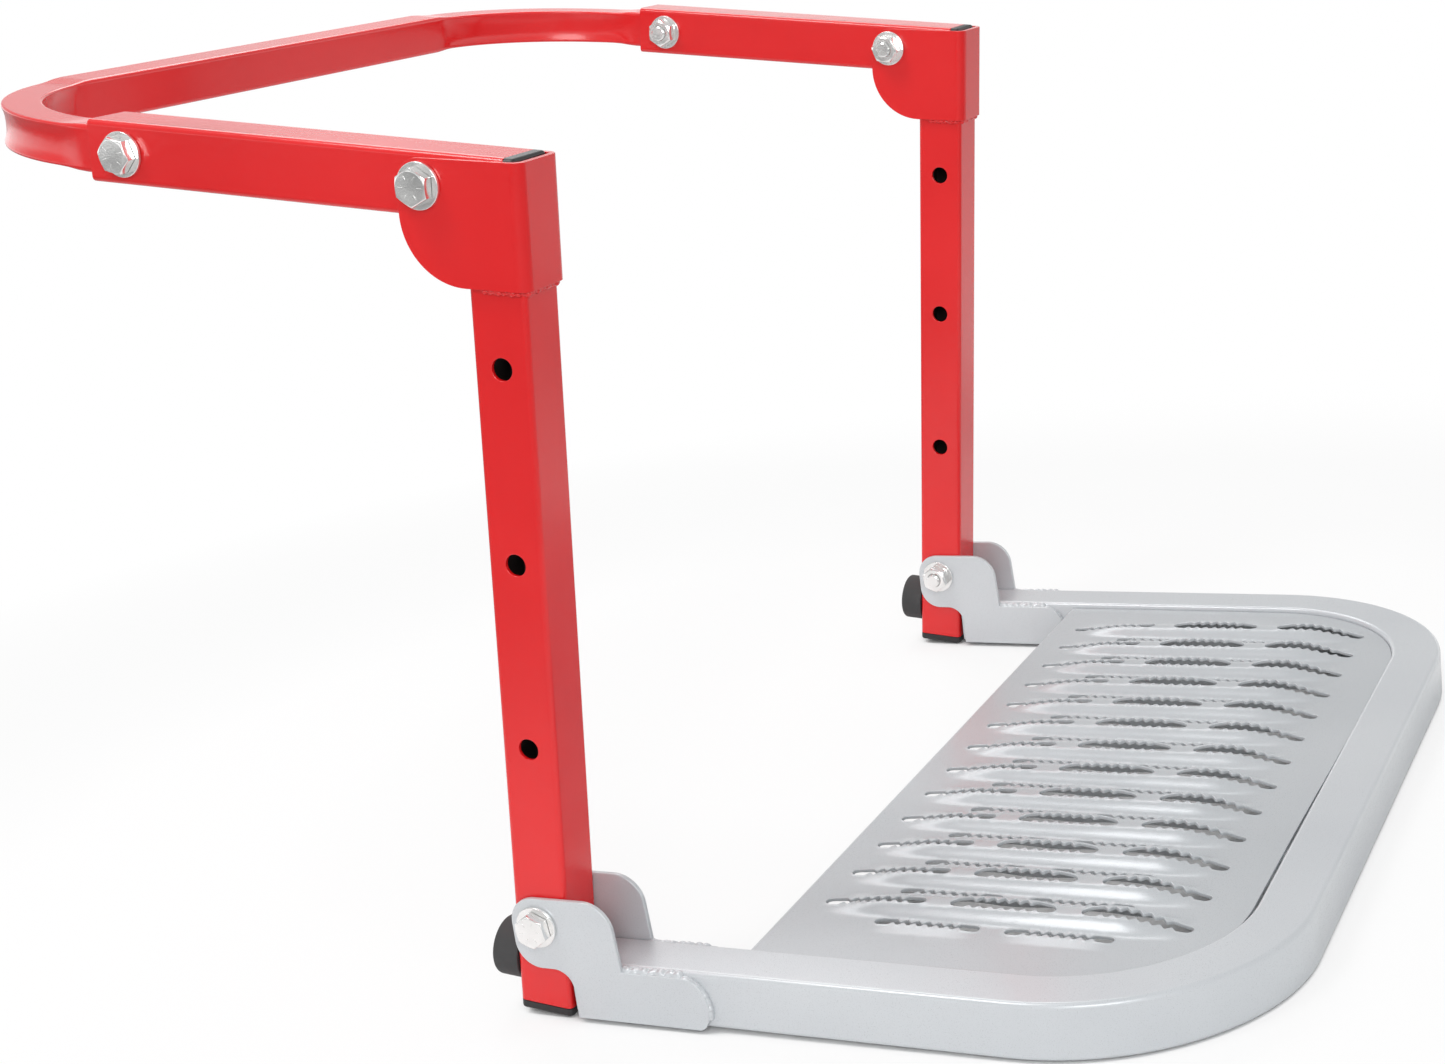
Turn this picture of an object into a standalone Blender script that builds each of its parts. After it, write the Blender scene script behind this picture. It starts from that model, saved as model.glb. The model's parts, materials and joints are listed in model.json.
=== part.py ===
"""Folding step that hangs on a vehicle's tyre: a square-tube hoop lies over the tyre, two perforated
uprights hang down in front of it, and a formed tread in a tube frame folds out at the bottom."""

import math

import bmesh
import bpy
from mathutils import Matrix, Vector
from mathutils.geometry import delaunay_2d_cdt

# sizes, in metres
SPAN = 0.595               # from upright centre to upright centre
SEAT_GAP = 0.0003          # between pieces that touch
SWING_GAP = 0.0003         # between a corner that swings past a face and that face

TUBE = 0.032               # square tube of the uprights, the arms and the step frame
TUBE_WALL = 0.002
TUBE_CORNER = 0.003

UPRIGHT_ABOVE = 0.3757     # from the step's pivot to the top of an upright
UPRIGHT_BELOW = 0.0494     # from the pivot to its lower end
HOLE_PITCH = 0.1016
SPARE_HOLES = 3            # holes above the one that the pivot bolt uses
HOLE = 0.0115              # across a bolt hole
FOOT_FLANGE = 0.005
PLUG_DEPTH = 0.012         # how far a plug reaches into its tube
PLUG_SLACK = 0.0003        # all round the plug, inside the tube

ARM_FRONT = 0.0445         # from the elbow bolt to the front end of an arm's tube
ARM_CAP = 0.006            # thickness of the cap's flange
ARM_TAIL = 0.0215          # from the bolt that holds the hoop to the arm's open rear end
ARM_TILT = math.radians(1.74)

HOOP_TUBE = 0.025
HOOP_WALL = 0.0015
HOOP_CORNER = 0.003
HOOP_REACH = 0.3242        # from the elbow bolt to the middle of the hoop's bar
HOOP_BEND = 0.116          # radius of the bend's centre line
LEG_OUT = 0.0282           # from a leg's bolt back to the start of its bend
HOOP_LAP = 0.040           # how far a leg runs on past its bolt, inside the arm
PRESS_OUTER = 0.0038       # the bend's outer wall is pressed in this far at its middle
PRESS_INNER = 0.0022       # and its inner wall this far
PRESS_PINCH = 0.0012       # the bend's corners are drawn together by this much
PRESS_FLAT = 0.0012        # and its outer corners drawn in
PRESS_FADE = math.radians(16)

SHEET = 0.003              # elbow brackets and hinge plates
FOLD_INNER = 0.002         # inner radius of the bracket's two folds
BRACKET_GRIP = 0.0312      # how far the bracket laps down the upright
BRACKET_EDGE = 0.0133      # from the elbow bolt to the bracket's top and rear edges
BRACKET_SWEEP = 0.035      # radius of the bracket's lower rear corner

STEP_TILT = math.radians(6.33)   # by which the step rises to the front, square to the uprights
STEP_REACH = 0.390         # from the pivot to the frame's front face
STEP_DROP = 0.021          # from the pivot down to the frame's top face
STEP_BEND = 0.130          # outer radius of the frame's front corners

EAR_RISE = 0.0160          # hinge plate: from the pivot to the top edge
EAR_DROP = 0.0253          # from the pivot to the lower edge of the ear
EAR_CORNER = 0.015
SHOULDER = 0.0472          # from the pivot to the plate's step down onto the frame
SHOULDER_LEAN = 0.0025     # the step's upper end lies this much nearer to the pivot
SHOULDER_CORNER = 0.0162
NOSE_REACH = 0.097         # from the pivot to the plate's rounded front end
NOSE_UPPER = 0.013         # run of the rounding above the nose's tip
NOSE_LOWER = 0.007         # and below it
NOSE_TIP = 0.0203          # the tip's depth below the frame's top face
WELD_LINE = 0.0025         # the plate's long edge lies this far below the frame's top
HEEL_CORNER = 0.011        # hollow that clears the bumper

BUMPER = 0.033             # across the rubber
BUMPER_LENGTH = 0.016
BUMPER_DROP = 0.0265       # from the pivot down to the bumper's axis
BUMPER_FILLET = 0.002
SCREW = 0.006
SCREW_HEAD = 0.011
SCREW_HEAD_HEIGHT = 0.003
SCREW_POCKET = 0.014
SCREW_POCKET_DEPTH = 0.006
SCREW_TAIL = 0.004         # past the upright's wall
SCREW_CLEAR = 0.0003

BOLT = 0.010
BOLT_FLATS = 0.017
BOLT_HEAD = 0.0064
BOLT_TAIL = 0.0025         # thread that shows past the nut
NUT = 0.008
WASHER = 0.0235
WASHER_HEIGHT = 0.002
BORE_CLEAR = 0.0003        # round the bolt, in washers and nuts

TREAD_SHEET = 0.002
TREAD_RECESS = 0.0035      # the tread's flat border lies this far below the frame's top
TREAD_BACK = 0.104         # from the pivot to the tread's folded rear edge
TREAD_LIP = 0.018          # height of that fold
SIDE_MARGIN = 0.0455       # least distance from the frame's legs to the middle of the first row
BACK_MARGIN = 0.0181       # from the folded edge to the first slots
FRONT_MARGIN = 0.025       # least distance from the last slots to the frame's front
ROW_PITCH = 0.0187
SLOT_PITCH = 0.0746        # along a row
SLOT = 0.060
SLOT_WIDTH = 0.008         # between the roots of the teeth
SLOT_CORNER = 0.0035       # length of a slot's rounded end
PLAIN_END = 0.0075         # stretch without teeth at each end of a slot
TOOTH_PITCH = 0.0063
TOOTH = 0.0014
RIDGE_REAR = 0.0044        # height of the ridges, which run along every second row, at the rear
RIDGE_FRONT = 0.0062       # and at the front
RIDGE_RAMP = 0.040         # length over which a ridge rises at each end
LIFT = 0.0024              # the far edge of a slot on a ridge stands higher by this
REAR_LIFT = -0.0004        # and that of the ridge's rear slot by this
VALLEY_RISE = 0.0012       # between the ridges, a slot's near edge is pressed up
VALLEY_SINK = 0.0016       # and its far edge down
TAB = 0.010                # width of the tongue that rises outside the first and last row

# what follows from them
HALF = TUBE / 2
ARM_NOSE = ARM_FRONT + ARM_CAP
HOOP_BOLT = HOOP_REACH - HOOP_BEND - LEG_OUT    # from the elbow bolt to the hoop's
ARM_REAR = HOOP_BOLT + ARM_TAIL
ELBOW_Y = math.hypot(ARM_NOSE, HALF) + SWING_GAP - HALF - SEAT_GAP
ELBOW_Z = UPRIGHT_ABOVE + SEAT_GAP + HALF * math.cos(ARM_TILT) + ARM_NOSE * math.sin(ARM_TILT)
PLATE_FACE = HALF + SEAT_GAP + SHEET        # outer face of a bracket cheek or hinge plate
LEG_BACK = (HALF + SEAT_GAP - STEP_DROP * math.sin(STEP_TILT)) / math.cos(STEP_TILT)
TREAD_TOP = STEP_DROP + TREAD_RECESS
FOOT = UPRIGHT_BELOW + FOOT_FLANGE


def ground_gap(lean):
    """Height of the frame's front lower edge over the foot's, with the uprights leaning so far."""
    foot = -HALF * math.sin(lean) - FOOT * math.cos(lean)
    slope = lean - STEP_TILT
    front = -STEP_REACH * math.sin(slope) - (STEP_DROP + TUBE) * math.cos(slope)
    return front - foot


def ground_lean():
    """The lean at which the foot's front edge and the frame's front edge both touch the ground."""
    low, high = 0.0, 2 * STEP_TILT + 0.1
    for _ in range(60):
        middle = (low + high) / 2
        if ground_gap(middle) > 0:
            low = middle
        else:
            high = middle
    return (low + high) / 2


# scene, materials, helpers
for old in list(bpy.data.objects):
    bpy.data.objects.remove(old, do_unlink=True)


def make_material(name, colour, roughness, metallic=0.0):
    material = bpy.data.materials.new(name)
    material.use_nodes = True
    shader = material.node_tree.nodes["Principled BSDF"]
    shader.inputs["Base Color"].default_value = (*colour, 1.0)
    shader.inputs["Roughness"].default_value = roughness
    shader.inputs["Metallic"].default_value = metallic
    material.diffuse_color = (*colour, 1.0)
    return material


RED = make_material("red_powder_coat", (0.60, 0.012, 0.016), 0.28)
GREY = make_material("grey_paint", (0.52, 0.55, 0.58), 0.38)
ZINC = make_material("zinc_plate", (0.72, 0.72, 0.70), 0.25, 1.0)
PLASTIC = make_material("black_plastic", (0.018, 0.018, 0.018), 0.45)
RUBBER = make_material("black_rubber", (0.014, 0.014, 0.014), 0.75)


def make_empty(name, parent=None, location=(0, 0, 0), turn=0.0):
    empty = bpy.data.objects.new(name, None)
    empty.location = location
    empty.rotation_euler = (turn, 0, 0)
    empty.parent = parent
    bpy.context.collection.objects.link(empty)
    return empty


def finish_mesh(name, bm, material, smooth=35):
    bmesh.ops.recalc_face_normals(bm, faces=bm.faces)
    mesh = bpy.data.meshes.new(name)
    bm.to_mesh(mesh)
    bm.free()
    mesh.materials.append(material)
    mesh.shade_smooth()
    mesh.set_sharp_from_angle(angle=math.radians(smooth))
    return mesh


def place(name, mesh, parent, location=(0, 0, 0), turn=(0, 0, 0)):
    obj = bpy.data.objects.new(name, mesh)
    obj.location = location
    obj.rotation_euler = turn
    obj.parent = parent
    bpy.context.collection.objects.link(obj)
    return obj


def drill(target, pins):
    """Cuts round holes: each pin is (centre, axis, diameter, length) in the target's own frame."""
    for index, (centre, axis, diameter, length) in enumerate(pins):
        bm = bmesh.new()
        bmesh.ops.create_cone(bm, cap_ends=True, segments=12, radius1=diameter / 2,
                              radius2=diameter / 2, depth=length)
        turn = Vector((0, 0, 1)).rotation_difference(Vector(axis)).to_matrix().to_4x4()
        turn @= Matrix.Rotation(math.radians(15), 4, "Z")
        bmesh.ops.transform(bm, matrix=Matrix.Translation(centre) @ turn, verts=bm.verts)
        mesh = bpy.data.meshes.new(f"{target.name}_pin_{index}")
        bm.to_mesh(mesh)
        bm.free()
        cut_with(target, mesh, "DIFFERENCE")


def cut_with(target, mesh, operation):
    cutter = place(mesh.name, mesh, target.parent, target.location, target.rotation_euler)
    cutter.hide_render = True
    cutter.display_type = "WIRE"
    cut = target.modifiers.new(mesh.name, "BOOLEAN")
    cut.operation = operation
    cut.solver = "EXACT"
    cut.object = cutter


def arc(centre, radius, start, end, steps):
    """Points on an arc, ends included; the radius may be a pair for an ellipse; angles in degrees."""
    across, up = radius if isinstance(radius, tuple) else (radius, radius)
    turns = [math.radians(start + (end - start) * i / steps) for i in range(steps + 1)]
    return [(centre[0] + across * math.cos(a), centre[1] + up * math.sin(a)) for a in turns]


def rounded_square(size, corner, steps):
    """A square outline with round corners, from its +u side on."""
    reach = size / 2 - corner
    if corner <= 0:
        steps = 0
    points = []
    for quarter, (u, v) in enumerate(((1, 1), (-1, 1), (-1, -1), (1, -1))):
        if steps:
            points += arc((u * reach, v * reach), corner, 90 * quarter, 90 * quarter + 90, steps)
        else:
            points.append((u * size / 2, v * size / 2))
    return points


def circle(radius, count):
    turns = [2 * math.pi * i / count for i in range(count)]
    return [(radius * math.cos(a), radius * math.sin(a)) for a in turns]


def hexagon(flats):
    """Twelve points: the six corners and the six middles of the flats."""
    corner = flats / math.sqrt(3)
    radii = [corner if i % 2 == 0 else flats / 2 for i in range(12)]
    turns = [math.pi * i / 6 for i in range(12)]
    return [(r * math.cos(a), r * math.sin(a)) for r, a in zip(radii, turns)]


def add_loop(bm, points):
    verts = [bm.verts.new(p) for p in points]
    return [bm.edges.new((verts[i - 1], verts[i])) for i in range(len(verts))]


def loft(rings, along, ring_shaped=False):
    """Joins outlines given as (position, points): capped at both ends, or closed into a ring."""
    bm = bmesh.new()
    loops = []
    for position, points in rings:
        loops.append([bm.verts.new(along(position, u, v)) for u, v in points])
    pairs = list(zip(loops, loops[1:]))
    if ring_shaped:
        pairs.append((loops[-1], loops[0]))
    for one, two in pairs:
        for i in range(len(one)):
            bm.faces.new((one[i - 1], one[i], two[i], two[i - 1]))
    if not ring_shaped:
        bm.faces.new(loops[0])
        bm.faces.new(loops[-1])
    return bm


def along_x(position, u, v):
    return (position, u, v)


def along_y(position, u, v):
    return (u, position, v)


def along_z(position, u, v):
    return (u, v, position)


def tube_run(outer, inner, start, moves):
    """Draws a tube's outline along straight runs and bends, and closes its two cut ends.

    The outlines lie in the XZ plane at the start, and the tube sets off along Y.
    A move is a vector for a straight run, or (centre, axis, angle, steps) for a bend."""
    bm = bmesh.new()
    edges = []
    for outline in (outer, inner):
        edges += add_loop(bm, [(start[0] + u, start[1], start[2] + v) for u, v in outline])
    first = edges
    for move in moves:
        if len(move) == 3:
            made = bmesh.ops.extrude_edge_only(bm, edges=edges)["geom"]
            verts = [g for g in made if isinstance(g, bmesh.types.BMVert)]
            bmesh.ops.translate(bm, verts=verts, vec=Vector(move))
            edges = [g for g in made if isinstance(g, bmesh.types.BMEdge)
                     and g.verts[0] in verts and g.verts[1] in verts]
        else:
            centre, axis, angle, steps = move
            corners = list({v for edge in edges for v in edge.verts})
            made = bmesh.ops.spin(bm, geom=corners + edges, cent=centre, axis=axis, angle=angle,
                                  steps=steps, use_duplicate=False)["geom_last"]
            edges = [g for g in made if isinstance(g, bmesh.types.BMEdge)]
    for end in (first, edges):
        bmesh.ops.triangle_fill(bm, use_beauty=False, edges=end)
    return bm


def prism(outline, axis, low, high):
    """A flat outline drawn out along an axis, from low to high."""
    bm = bmesh.new()
    face = bm.faces.new([bm.verts.new(axis(low, u, v)) for u, v in outline])
    made = bmesh.ops.extrude_face_region(bm, geom=[face])["geom"]
    shift = Vector(axis(high, 0, 0)) - Vector(axis(low, 0, 0))
    verts = [g for g in made if isinstance(g, bmesh.types.BMVert)]
    bmesh.ops.translate(bm, verts=verts, vec=shift)
    return bm


# bodies
root = make_empty("stand", turn=ground_lean())
elbow = make_empty("elbow_axis", root, (0, ELBOW_Y, ELBOW_Z), ARM_TILT)
pivot = make_empty("step_axis", root, (0, 0, 0), -STEP_TILT)
SIDES = (("left", -1), ("right", 1))

square = rounded_square(TUBE, TUBE_CORNER, 2)
square_bore = rounded_square(TUBE - 2 * TUBE_WALL, 0, 0)

# uprights and their feet
for side, sign in SIDES:
    x = sign * SPAN / 2
    bm = tube_run(square, square_bore, (0, 0, 0), [(0, UPRIGHT_ABOVE + UPRIGHT_BELOW, 0)])
    bmesh.ops.rotate(bm, verts=bm.verts, matrix=Matrix.Rotation(math.pi / 2, 3, "X"))
    bmesh.ops.translate(bm, verts=bm.verts, vec=(0, 0, -UPRIGHT_BELOW))
    upright = place(f"upright_{side}", finish_mesh(f"upright_{side}", bm, RED), root, (x, 0, 0))
    pins = [((0, 0, i * HOLE_PITCH), (1, 0, 0), HOLE, 2 * TUBE) for i in range(SPARE_HOLES + 1)]
    pins.append(((0, HALF, -BUMPER_DROP), (0, 1, 0), SCREW + 2 * SCREW_CLEAR, TUBE / 2))
    drill(upright, pins)


def plug_mesh(name, flange, axis, outward):
    """A flange flush with the tube and a shank inside it; the tube's end lies at zero."""
    size = TUBE - 2 * TUBE_WALL - 2 * PLUG_SLACK
    outline = rounded_square(TUBE, TUBE_CORNER, 2)
    edge = rounded_square(TUBE - 0.3 * flange, TUBE_CORNER, 2)
    shank = rounded_square(size, TUBE_CORNER / 3, 2)
    rings = [(outward * flange, edge), (outward * 0.7 * flange, outline),
             (outward * SEAT_GAP, outline), (outward * SEAT_GAP, shank),
             (-outward * PLUG_DEPTH, shank)]
    return finish_mesh(name, loft(rings, axis), PLASTIC)


foot_plug = plug_mesh("foot_plug", FOOT_FLANGE, along_z, -1)
for side, sign in SIDES:
    place(f"foot_plug_{side}", foot_plug, root, (sign * SPAN / 2, 0, -UPRIGHT_BELOW))

# elbow brackets
# A U of sheet folded round the upright's front, whose cheeks reach back to the elbow bolt.
bracket_low = UPRIGHT_ABOVE - BRACKET_GRIP
bracket_high = ELBOW_Z + BRACKET_EDGE
bracket_back = ELBOW_Y + BRACKET_EDGE
fold_outer = FOLD_INNER + SHEET
inner = HALF + SEAT_GAP
fold = inner - FOLD_INNER
channel = [(PLATE_FACE, bracket_back + SHEET)]
channel += arc((fold, -fold), fold_outer, 0, -90, 4)
channel += arc((-fold, -fold), fold_outer, -90, -180, 4)
channel += [(-PLATE_FACE, bracket_back + SHEET), (-inner, bracket_back + SHEET)]
channel += arc((-fold, -fold), FOLD_INNER, 180, 270, 2)
channel += arc((fold, -fold), FOLD_INNER, 270, 360, 2)
channel += [(inner, bracket_back + SHEET)]
cheek = [(-PLATE_FACE - SHEET, bracket_low)]
cheek += arc((bracket_back - BRACKET_SWEEP, bracket_low + BRACKET_SWEEP), BRACKET_SWEEP, -90, 0, 8)
cheek += arc((ELBOW_Y, ELBOW_Z), BRACKET_EDGE, 0, 90, 5)
cheek += [(-PLATE_FACE - SHEET, bracket_high)]
for side, sign in SIDES:
    bm = prism(channel, along_z, bracket_low - SHEET, bracket_high + SHEET)
    bracket = place(f"elbow_bracket_{side}", finish_mesh(f"elbow_bracket_{side}", bm, RED), root,
                    (sign * SPAN / 2, 0, 0))
    side_view = finish_mesh(f"bracket_outline_{side}", prism(cheek, along_x, -TUBE, TUBE), RED)
    cut_with(bracket, side_view, "INTERSECT")
    drill(bracket, [((0, ELBOW_Y, ELBOW_Z), (1, 0, 0), HOLE, 2 * TUBE)])

# arms and hoop
arm_cap = plug_mesh("arm_cap", ARM_CAP, along_y, -1)
for side, sign in SIDES:
    x = sign * SPAN / 2
    bm = tube_run(square, square_bore, (0, -ARM_FRONT, 0), [(0, ARM_FRONT + ARM_REAR, 0)])
    arm = place(f"arm_{side}", finish_mesh(f"arm_{side}", bm, RED), elbow, (x, 0, 0))
    drill(arm, [((0, y, 0), (1, 0, 0), HOLE, 2 * TUBE) for y in (0, HOOP_BOLT)])
    place(f"arm_cap_{side}", arm_cap, elbow, (x, -ARM_FRONT, 0))


def press_bend(bm, centre, outer_side):
    """Presses in the outer and inner walls through one bend and draws its corners together."""
    for vert in bm.verts:
        out = Vector(((vert.co.x - centre[0]) * outer_side, vert.co.y - centre[1]))
        if min(out) < -1e-6:
            continue
        turn = math.atan2(out.y, out.x)
        fade = min(1.0, turn / PRESS_FADE, (math.pi / 2 - turn) / PRESS_FADE)
        fade = fade * fade * (3 - 2 * fade)
        across = min(1.0, abs(vert.co.z) / (HOOP_TUBE / 2))
        if out.length > HOOP_BEND:
            move = -(PRESS_FLAT + (PRESS_OUTER - PRESS_FLAT) * (1 - across ** 3))
        else:
            move = PRESS_INNER * (1 - across ** 3)
        longer = (out.length + move * fade) / out.length
        vert.co.x = centre[0] + (vert.co.x - centre[0]) * longer
        vert.co.y = centre[1] + (vert.co.y - centre[1]) * longer
        vert.co.z -= math.copysign(PRESS_PINCH * fade * across, vert.co.z)


leg_start = HOOP_BOLT - HOOP_LAP
leg_run = HOOP_LAP + LEG_OUT
corner_x = SPAN / 2 - HOOP_BEND
corner_y = HOOP_REACH - HOOP_BEND
hoop_outer = [(-u, v) for u, v in rounded_square(HOOP_TUBE, HOOP_CORNER, 2)]
hoop_bore = [(-u, v) for u, v in rounded_square(HOOP_TUBE - 2 * HOOP_WALL, 0, 0)]
WALL_POINTS = (-0.6, 0.0, 0.6)


def with_wall_points(outline, size):
    """Adds points along the outer wall, at -u and the outline's end, and one on the inner wall."""
    half = len(outline) // 2
    reach = size / 2 - HOOP_CORNER
    outer_wall = [(-size / 2, share * reach) for share in WALL_POINTS]
    return outline[:half] + [(size / 2, 0.0)] + outline[half:] + outer_wall


hoop_outer = with_wall_points(hoop_outer, HOOP_TUBE)
hoop_bore = with_wall_points(hoop_bore, HOOP_TUBE - 2 * HOOP_WALL)
down = (0, 0, -1)
BEND_STEPS = 8
bm = tube_run(hoop_outer, hoop_bore, (-SPAN / 2, leg_start, 0), [
    (0, leg_run, 0),
    ((-corner_x, corner_y, 0), down, math.pi / 2, BEND_STEPS),
    (2 * corner_x, 0, 0),
    ((corner_x, corner_y, 0), down, math.pi / 2, BEND_STEPS),
    (0, -leg_run, 0),
])
press_bend(bm, (-corner_x, corner_y), -1)
press_bend(bm, (corner_x, corner_y), 1)
hoop = place("hoop", finish_mesh("hoop", bm, RED), elbow)
drill(hoop, [((sign * SPAN / 2, HOOP_BOLT, 0), (1, 0, 0), HOLE, 2 * TUBE) for _, sign in SIDES])

# step frame
up = (0, 0, 1)
frame_turn = STEP_BEND - HALF
frame_x = SPAN / 2 - frame_turn
frame_y = -STEP_REACH + STEP_BEND
leg = LEG_BACK + frame_y
middle = -STEP_DROP - HALF
bm = tube_run(square, square_bore, (-SPAN / 2, -LEG_BACK, middle), [
    (0, leg, 0),
    ((-frame_x, frame_y, middle), up, math.pi / 2, BEND_STEPS),
    (2 * frame_x, 0, 0),
    ((frame_x, frame_y, middle), up, math.pi / 2, BEND_STEPS),
    (0, -leg, 0),
])
place("step_frame", finish_mesh("step_frame", bm, GREY), pivot)

# hinge plates
# The ear turns on the pivot bolt beside the upright, and the long foot is welded to the frame.
weld_line = -STEP_DROP - WELD_LINE
nose_tip = -STEP_DROP - NOSE_TIP
plate_low = -STEP_DROP - TUBE - SEAT_GAP
heel = -HALF - SEAT_GAP
ear = HALF - EAR_CORNER
outline = arc((ear, EAR_RISE - EAR_CORNER), EAR_CORNER, 0, 90, 4)
shoulder = -SHOULDER + SHOULDER_LEAN + SHOULDER_CORNER
outline += arc((shoulder, EAR_RISE - SHOULDER_CORNER), SHOULDER_CORNER, 90, 180, 4)
outline += [(-SHOULDER, weld_line)]
outline += arc((-NOSE_REACH + NOSE_UPPER, nose_tip), (NOSE_UPPER, weld_line - nose_tip), 90, 180, 4)
outline += arc((-NOSE_REACH + NOSE_LOWER, nose_tip), (NOSE_LOWER, nose_tip - plate_low), 180, 270, 4)[1:]
outline += [(heel, plate_low)]
outline += arc((heel + HEEL_CORNER, -EAR_DROP - HEEL_CORNER), HEEL_CORNER, 180, 90, 3)
outline += arc((ear, -EAR_DROP + EAR_CORNER), EAR_CORNER, -90, 0, 4)
for side, sign in SIDES:
    for place_name, offset in (("outer", sign), ("inner", -sign)):
        name = f"hinge_plate_{side}_{place_name}"
        bm = prism(outline, along_x, -SHEET / 2, SHEET / 2)
        x = sign * SPAN / 2 + offset * (PLATE_FACE - SHEET / 2)
        plate = place(name, finish_mesh(name, bm, GREY), pivot, (x, 0, 0))
        drill(plate, [((0, 0, 0), (1, 0, 0), HOLE, 4 * SHEET)])

# bumpers and their screws
rear = HALF + SEAT_GAP
bore = circle(SCREW / 2 + SCREW_CLEAR, 14)
rim = circle(BUMPER / 2, 14)
rounding = circle(BUMPER / 2 - 0.3 * BUMPER_FILLET, 14)
face = circle(BUMPER / 2 - BUMPER_FILLET, 14)
pocket = circle(SCREW_POCKET / 2, 14)
pocket_floor = BUMPER_LENGTH - SCREW_POCKET_DEPTH
rings = [(0, bore), (0, rim), (BUMPER_LENGTH - BUMPER_FILLET, rim),
         (BUMPER_LENGTH - 0.3 * BUMPER_FILLET, rounding), (BUMPER_LENGTH, face),
         (BUMPER_LENGTH, pocket), (pocket_floor, pocket), (pocket_floor, bore)]
bumper = finish_mesh("bumper", loft(rings, along_y, ring_shaped=True), RUBBER)
head_seat = pocket_floor + SEAT_GAP
shank = circle(SCREW / 2, 8)
tail = -SEAT_GAP - TUBE_WALL - SCREW_TAIL
rings = [(tail, shank), (head_seat, shank), (head_seat, circle(SCREW_HEAD / 2, 8)),
         (head_seat + 0.5 * SCREW_HEAD_HEIGHT, circle(SCREW_HEAD / 2, 8)),
         (head_seat + SCREW_HEAD_HEIGHT, circle(0.32 * SCREW_HEAD, 8))]
screw = finish_mesh("bumper_screw", loft(rings, along_y), ZINC)
for side, sign in SIDES:
    spot = (sign * SPAN / 2, rear, -BUMPER_DROP)
    place(f"bumper_{side}", bumper, root, spot)
    place(f"bumper_screw_{side}", screw, root, spot)

# bolts, washers and nuts
SEGMENTS = 12


def washer_mesh():
    hole = circle(BOLT / 2 + BORE_CLEAR, SEGMENTS)
    disc = circle(WASHER / 2, SEGMENTS)
    rings = [(0, hole), (0, disc), (WASHER_HEIGHT, disc), (WASHER_HEIGHT, hole)]
    return finish_mesh("washer", loft(rings, along_x, ring_shaped=True), ZINC)


def nut_mesh():
    hole = circle(BOLT / 2 + BORE_CLEAR, SEGMENTS)
    side = hexagon(BOLT_FLATS)
    chamfer = circle(0.48 * BOLT_FLATS, SEGMENTS)
    slant = 0.1 * NUT
    rings = [(0, hole), (0, side), (NUT - slant, side), (NUT, chamfer), (NUT, hole)]
    return finish_mesh("nut", loft(rings, along_x, ring_shaped=True), ZINC, 25)


def bolt_mesh(name, face):
    """A bolt that clamps what lies between -face and +face; its head lies at +X."""
    seat = face + WASHER_HEIGHT + 2 * SEAT_GAP
    end = -seat - NUT - BOLT_TAIL
    shank = circle(BOLT / 2, SEGMENTS)
    rings = [(end, shank), (seat, shank),
             (seat, hexagon(BOLT_FLATS)), (seat + 0.8 * BOLT_HEAD, hexagon(BOLT_FLATS)),
             (seat + BOLT_HEAD, circle(0.46 * BOLT_FLATS, SEGMENTS))]
    return finish_mesh(name, loft(rings, along_x), ZINC, 25)


washer = washer_mesh()
nut = nut_mesh()
plate_bolt = bolt_mesh("plate_bolt", PLATE_FACE)
tube_bolt = bolt_mesh("tube_bolt", HALF)
JOINTS = (("elbow", root, ELBOW_Y, ELBOW_Z, PLATE_FACE, plate_bolt),
          ("pivot", root, 0.0, 0.0, PLATE_FACE, plate_bolt),
          ("hoop", elbow, HOOP_BOLT, 0.0, HALF, tube_bolt))
for label, parent, y, z, face, bolt in JOINTS:
    for side, sign in SIDES:
        x = sign * SPAN / 2
        turn = (0, 0, 0 if sign > 0 else math.pi)
        back = (0, 0, math.pi if sign > 0 else 0)
        lift = face + SEAT_GAP
        nut_seat = face + WASHER_HEIGHT + 2 * SEAT_GAP
        place(f"{label}_bolt_{side}", bolt, parent, (x, y, z), turn)
        place(f"{label}_washer_{side}_outer", washer, parent, (x + sign * lift, y, z), turn)
        place(f"{label}_washer_{side}_inner", washer, parent, (x - sign * lift, y, z), back)
        place(f"{label}_nut_{side}", nut, parent, (x - sign * nut_seat, y, z), back)


# tread
half_x = SPAN / 2 - HALF - SEAT_GAP
front_y = -STEP_REACH + TUBE + SEAT_GAP
turn_in = STEP_BEND - TUBE - SEAT_GAP
fold_y = -TREAD_BACK - TREAD_SHEET
corner = (half_x - turn_in, front_y + turn_in)
edge = [(-half_x, fold_y)]
edge += arc((-corner[0], corner[1]), turn_in, 180, 270, 8)
edge += arc(corner, turn_in, 270, 360, 8)
edge += [(half_x, fold_y)]

# The rows of slots: wide rows, on the ridges, take turns with rows of one slot less.
rows = int((2 * half_x - 2 * SIDE_MARGIN) / ROW_PITCH) + 1
slot_room = -front_y - FRONT_MARGIN - TREAD_BACK - BACK_MARGIN - SLOT
wide_row = int(slot_room / SLOT_PITCH) + 1
teeth = int((SLOT - 2 * PLAIN_END) / TOOTH_PITCH)
ridge_half = ((wide_row - 1) * SLOT_PITCH + SLOT) / 2
ridge_middle = -TREAD_BACK - BACK_MARGIN - ridge_half


def ridge_height(y):
    """Height of a ridge's crest: it ramps up from both ends and grows towards the front."""
    offset = y - ridge_middle
    ramp = max(0.0, min(1.0, (ridge_half - abs(offset)) / RIDGE_RAMP))
    crest = (RIDGE_FRONT + RIDGE_REAR) / 2 - (RIDGE_FRONT - RIDGE_REAR) / 2 * offset / ridge_half
    return crest * ramp * ramp * (3 - 2 * ramp)


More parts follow.
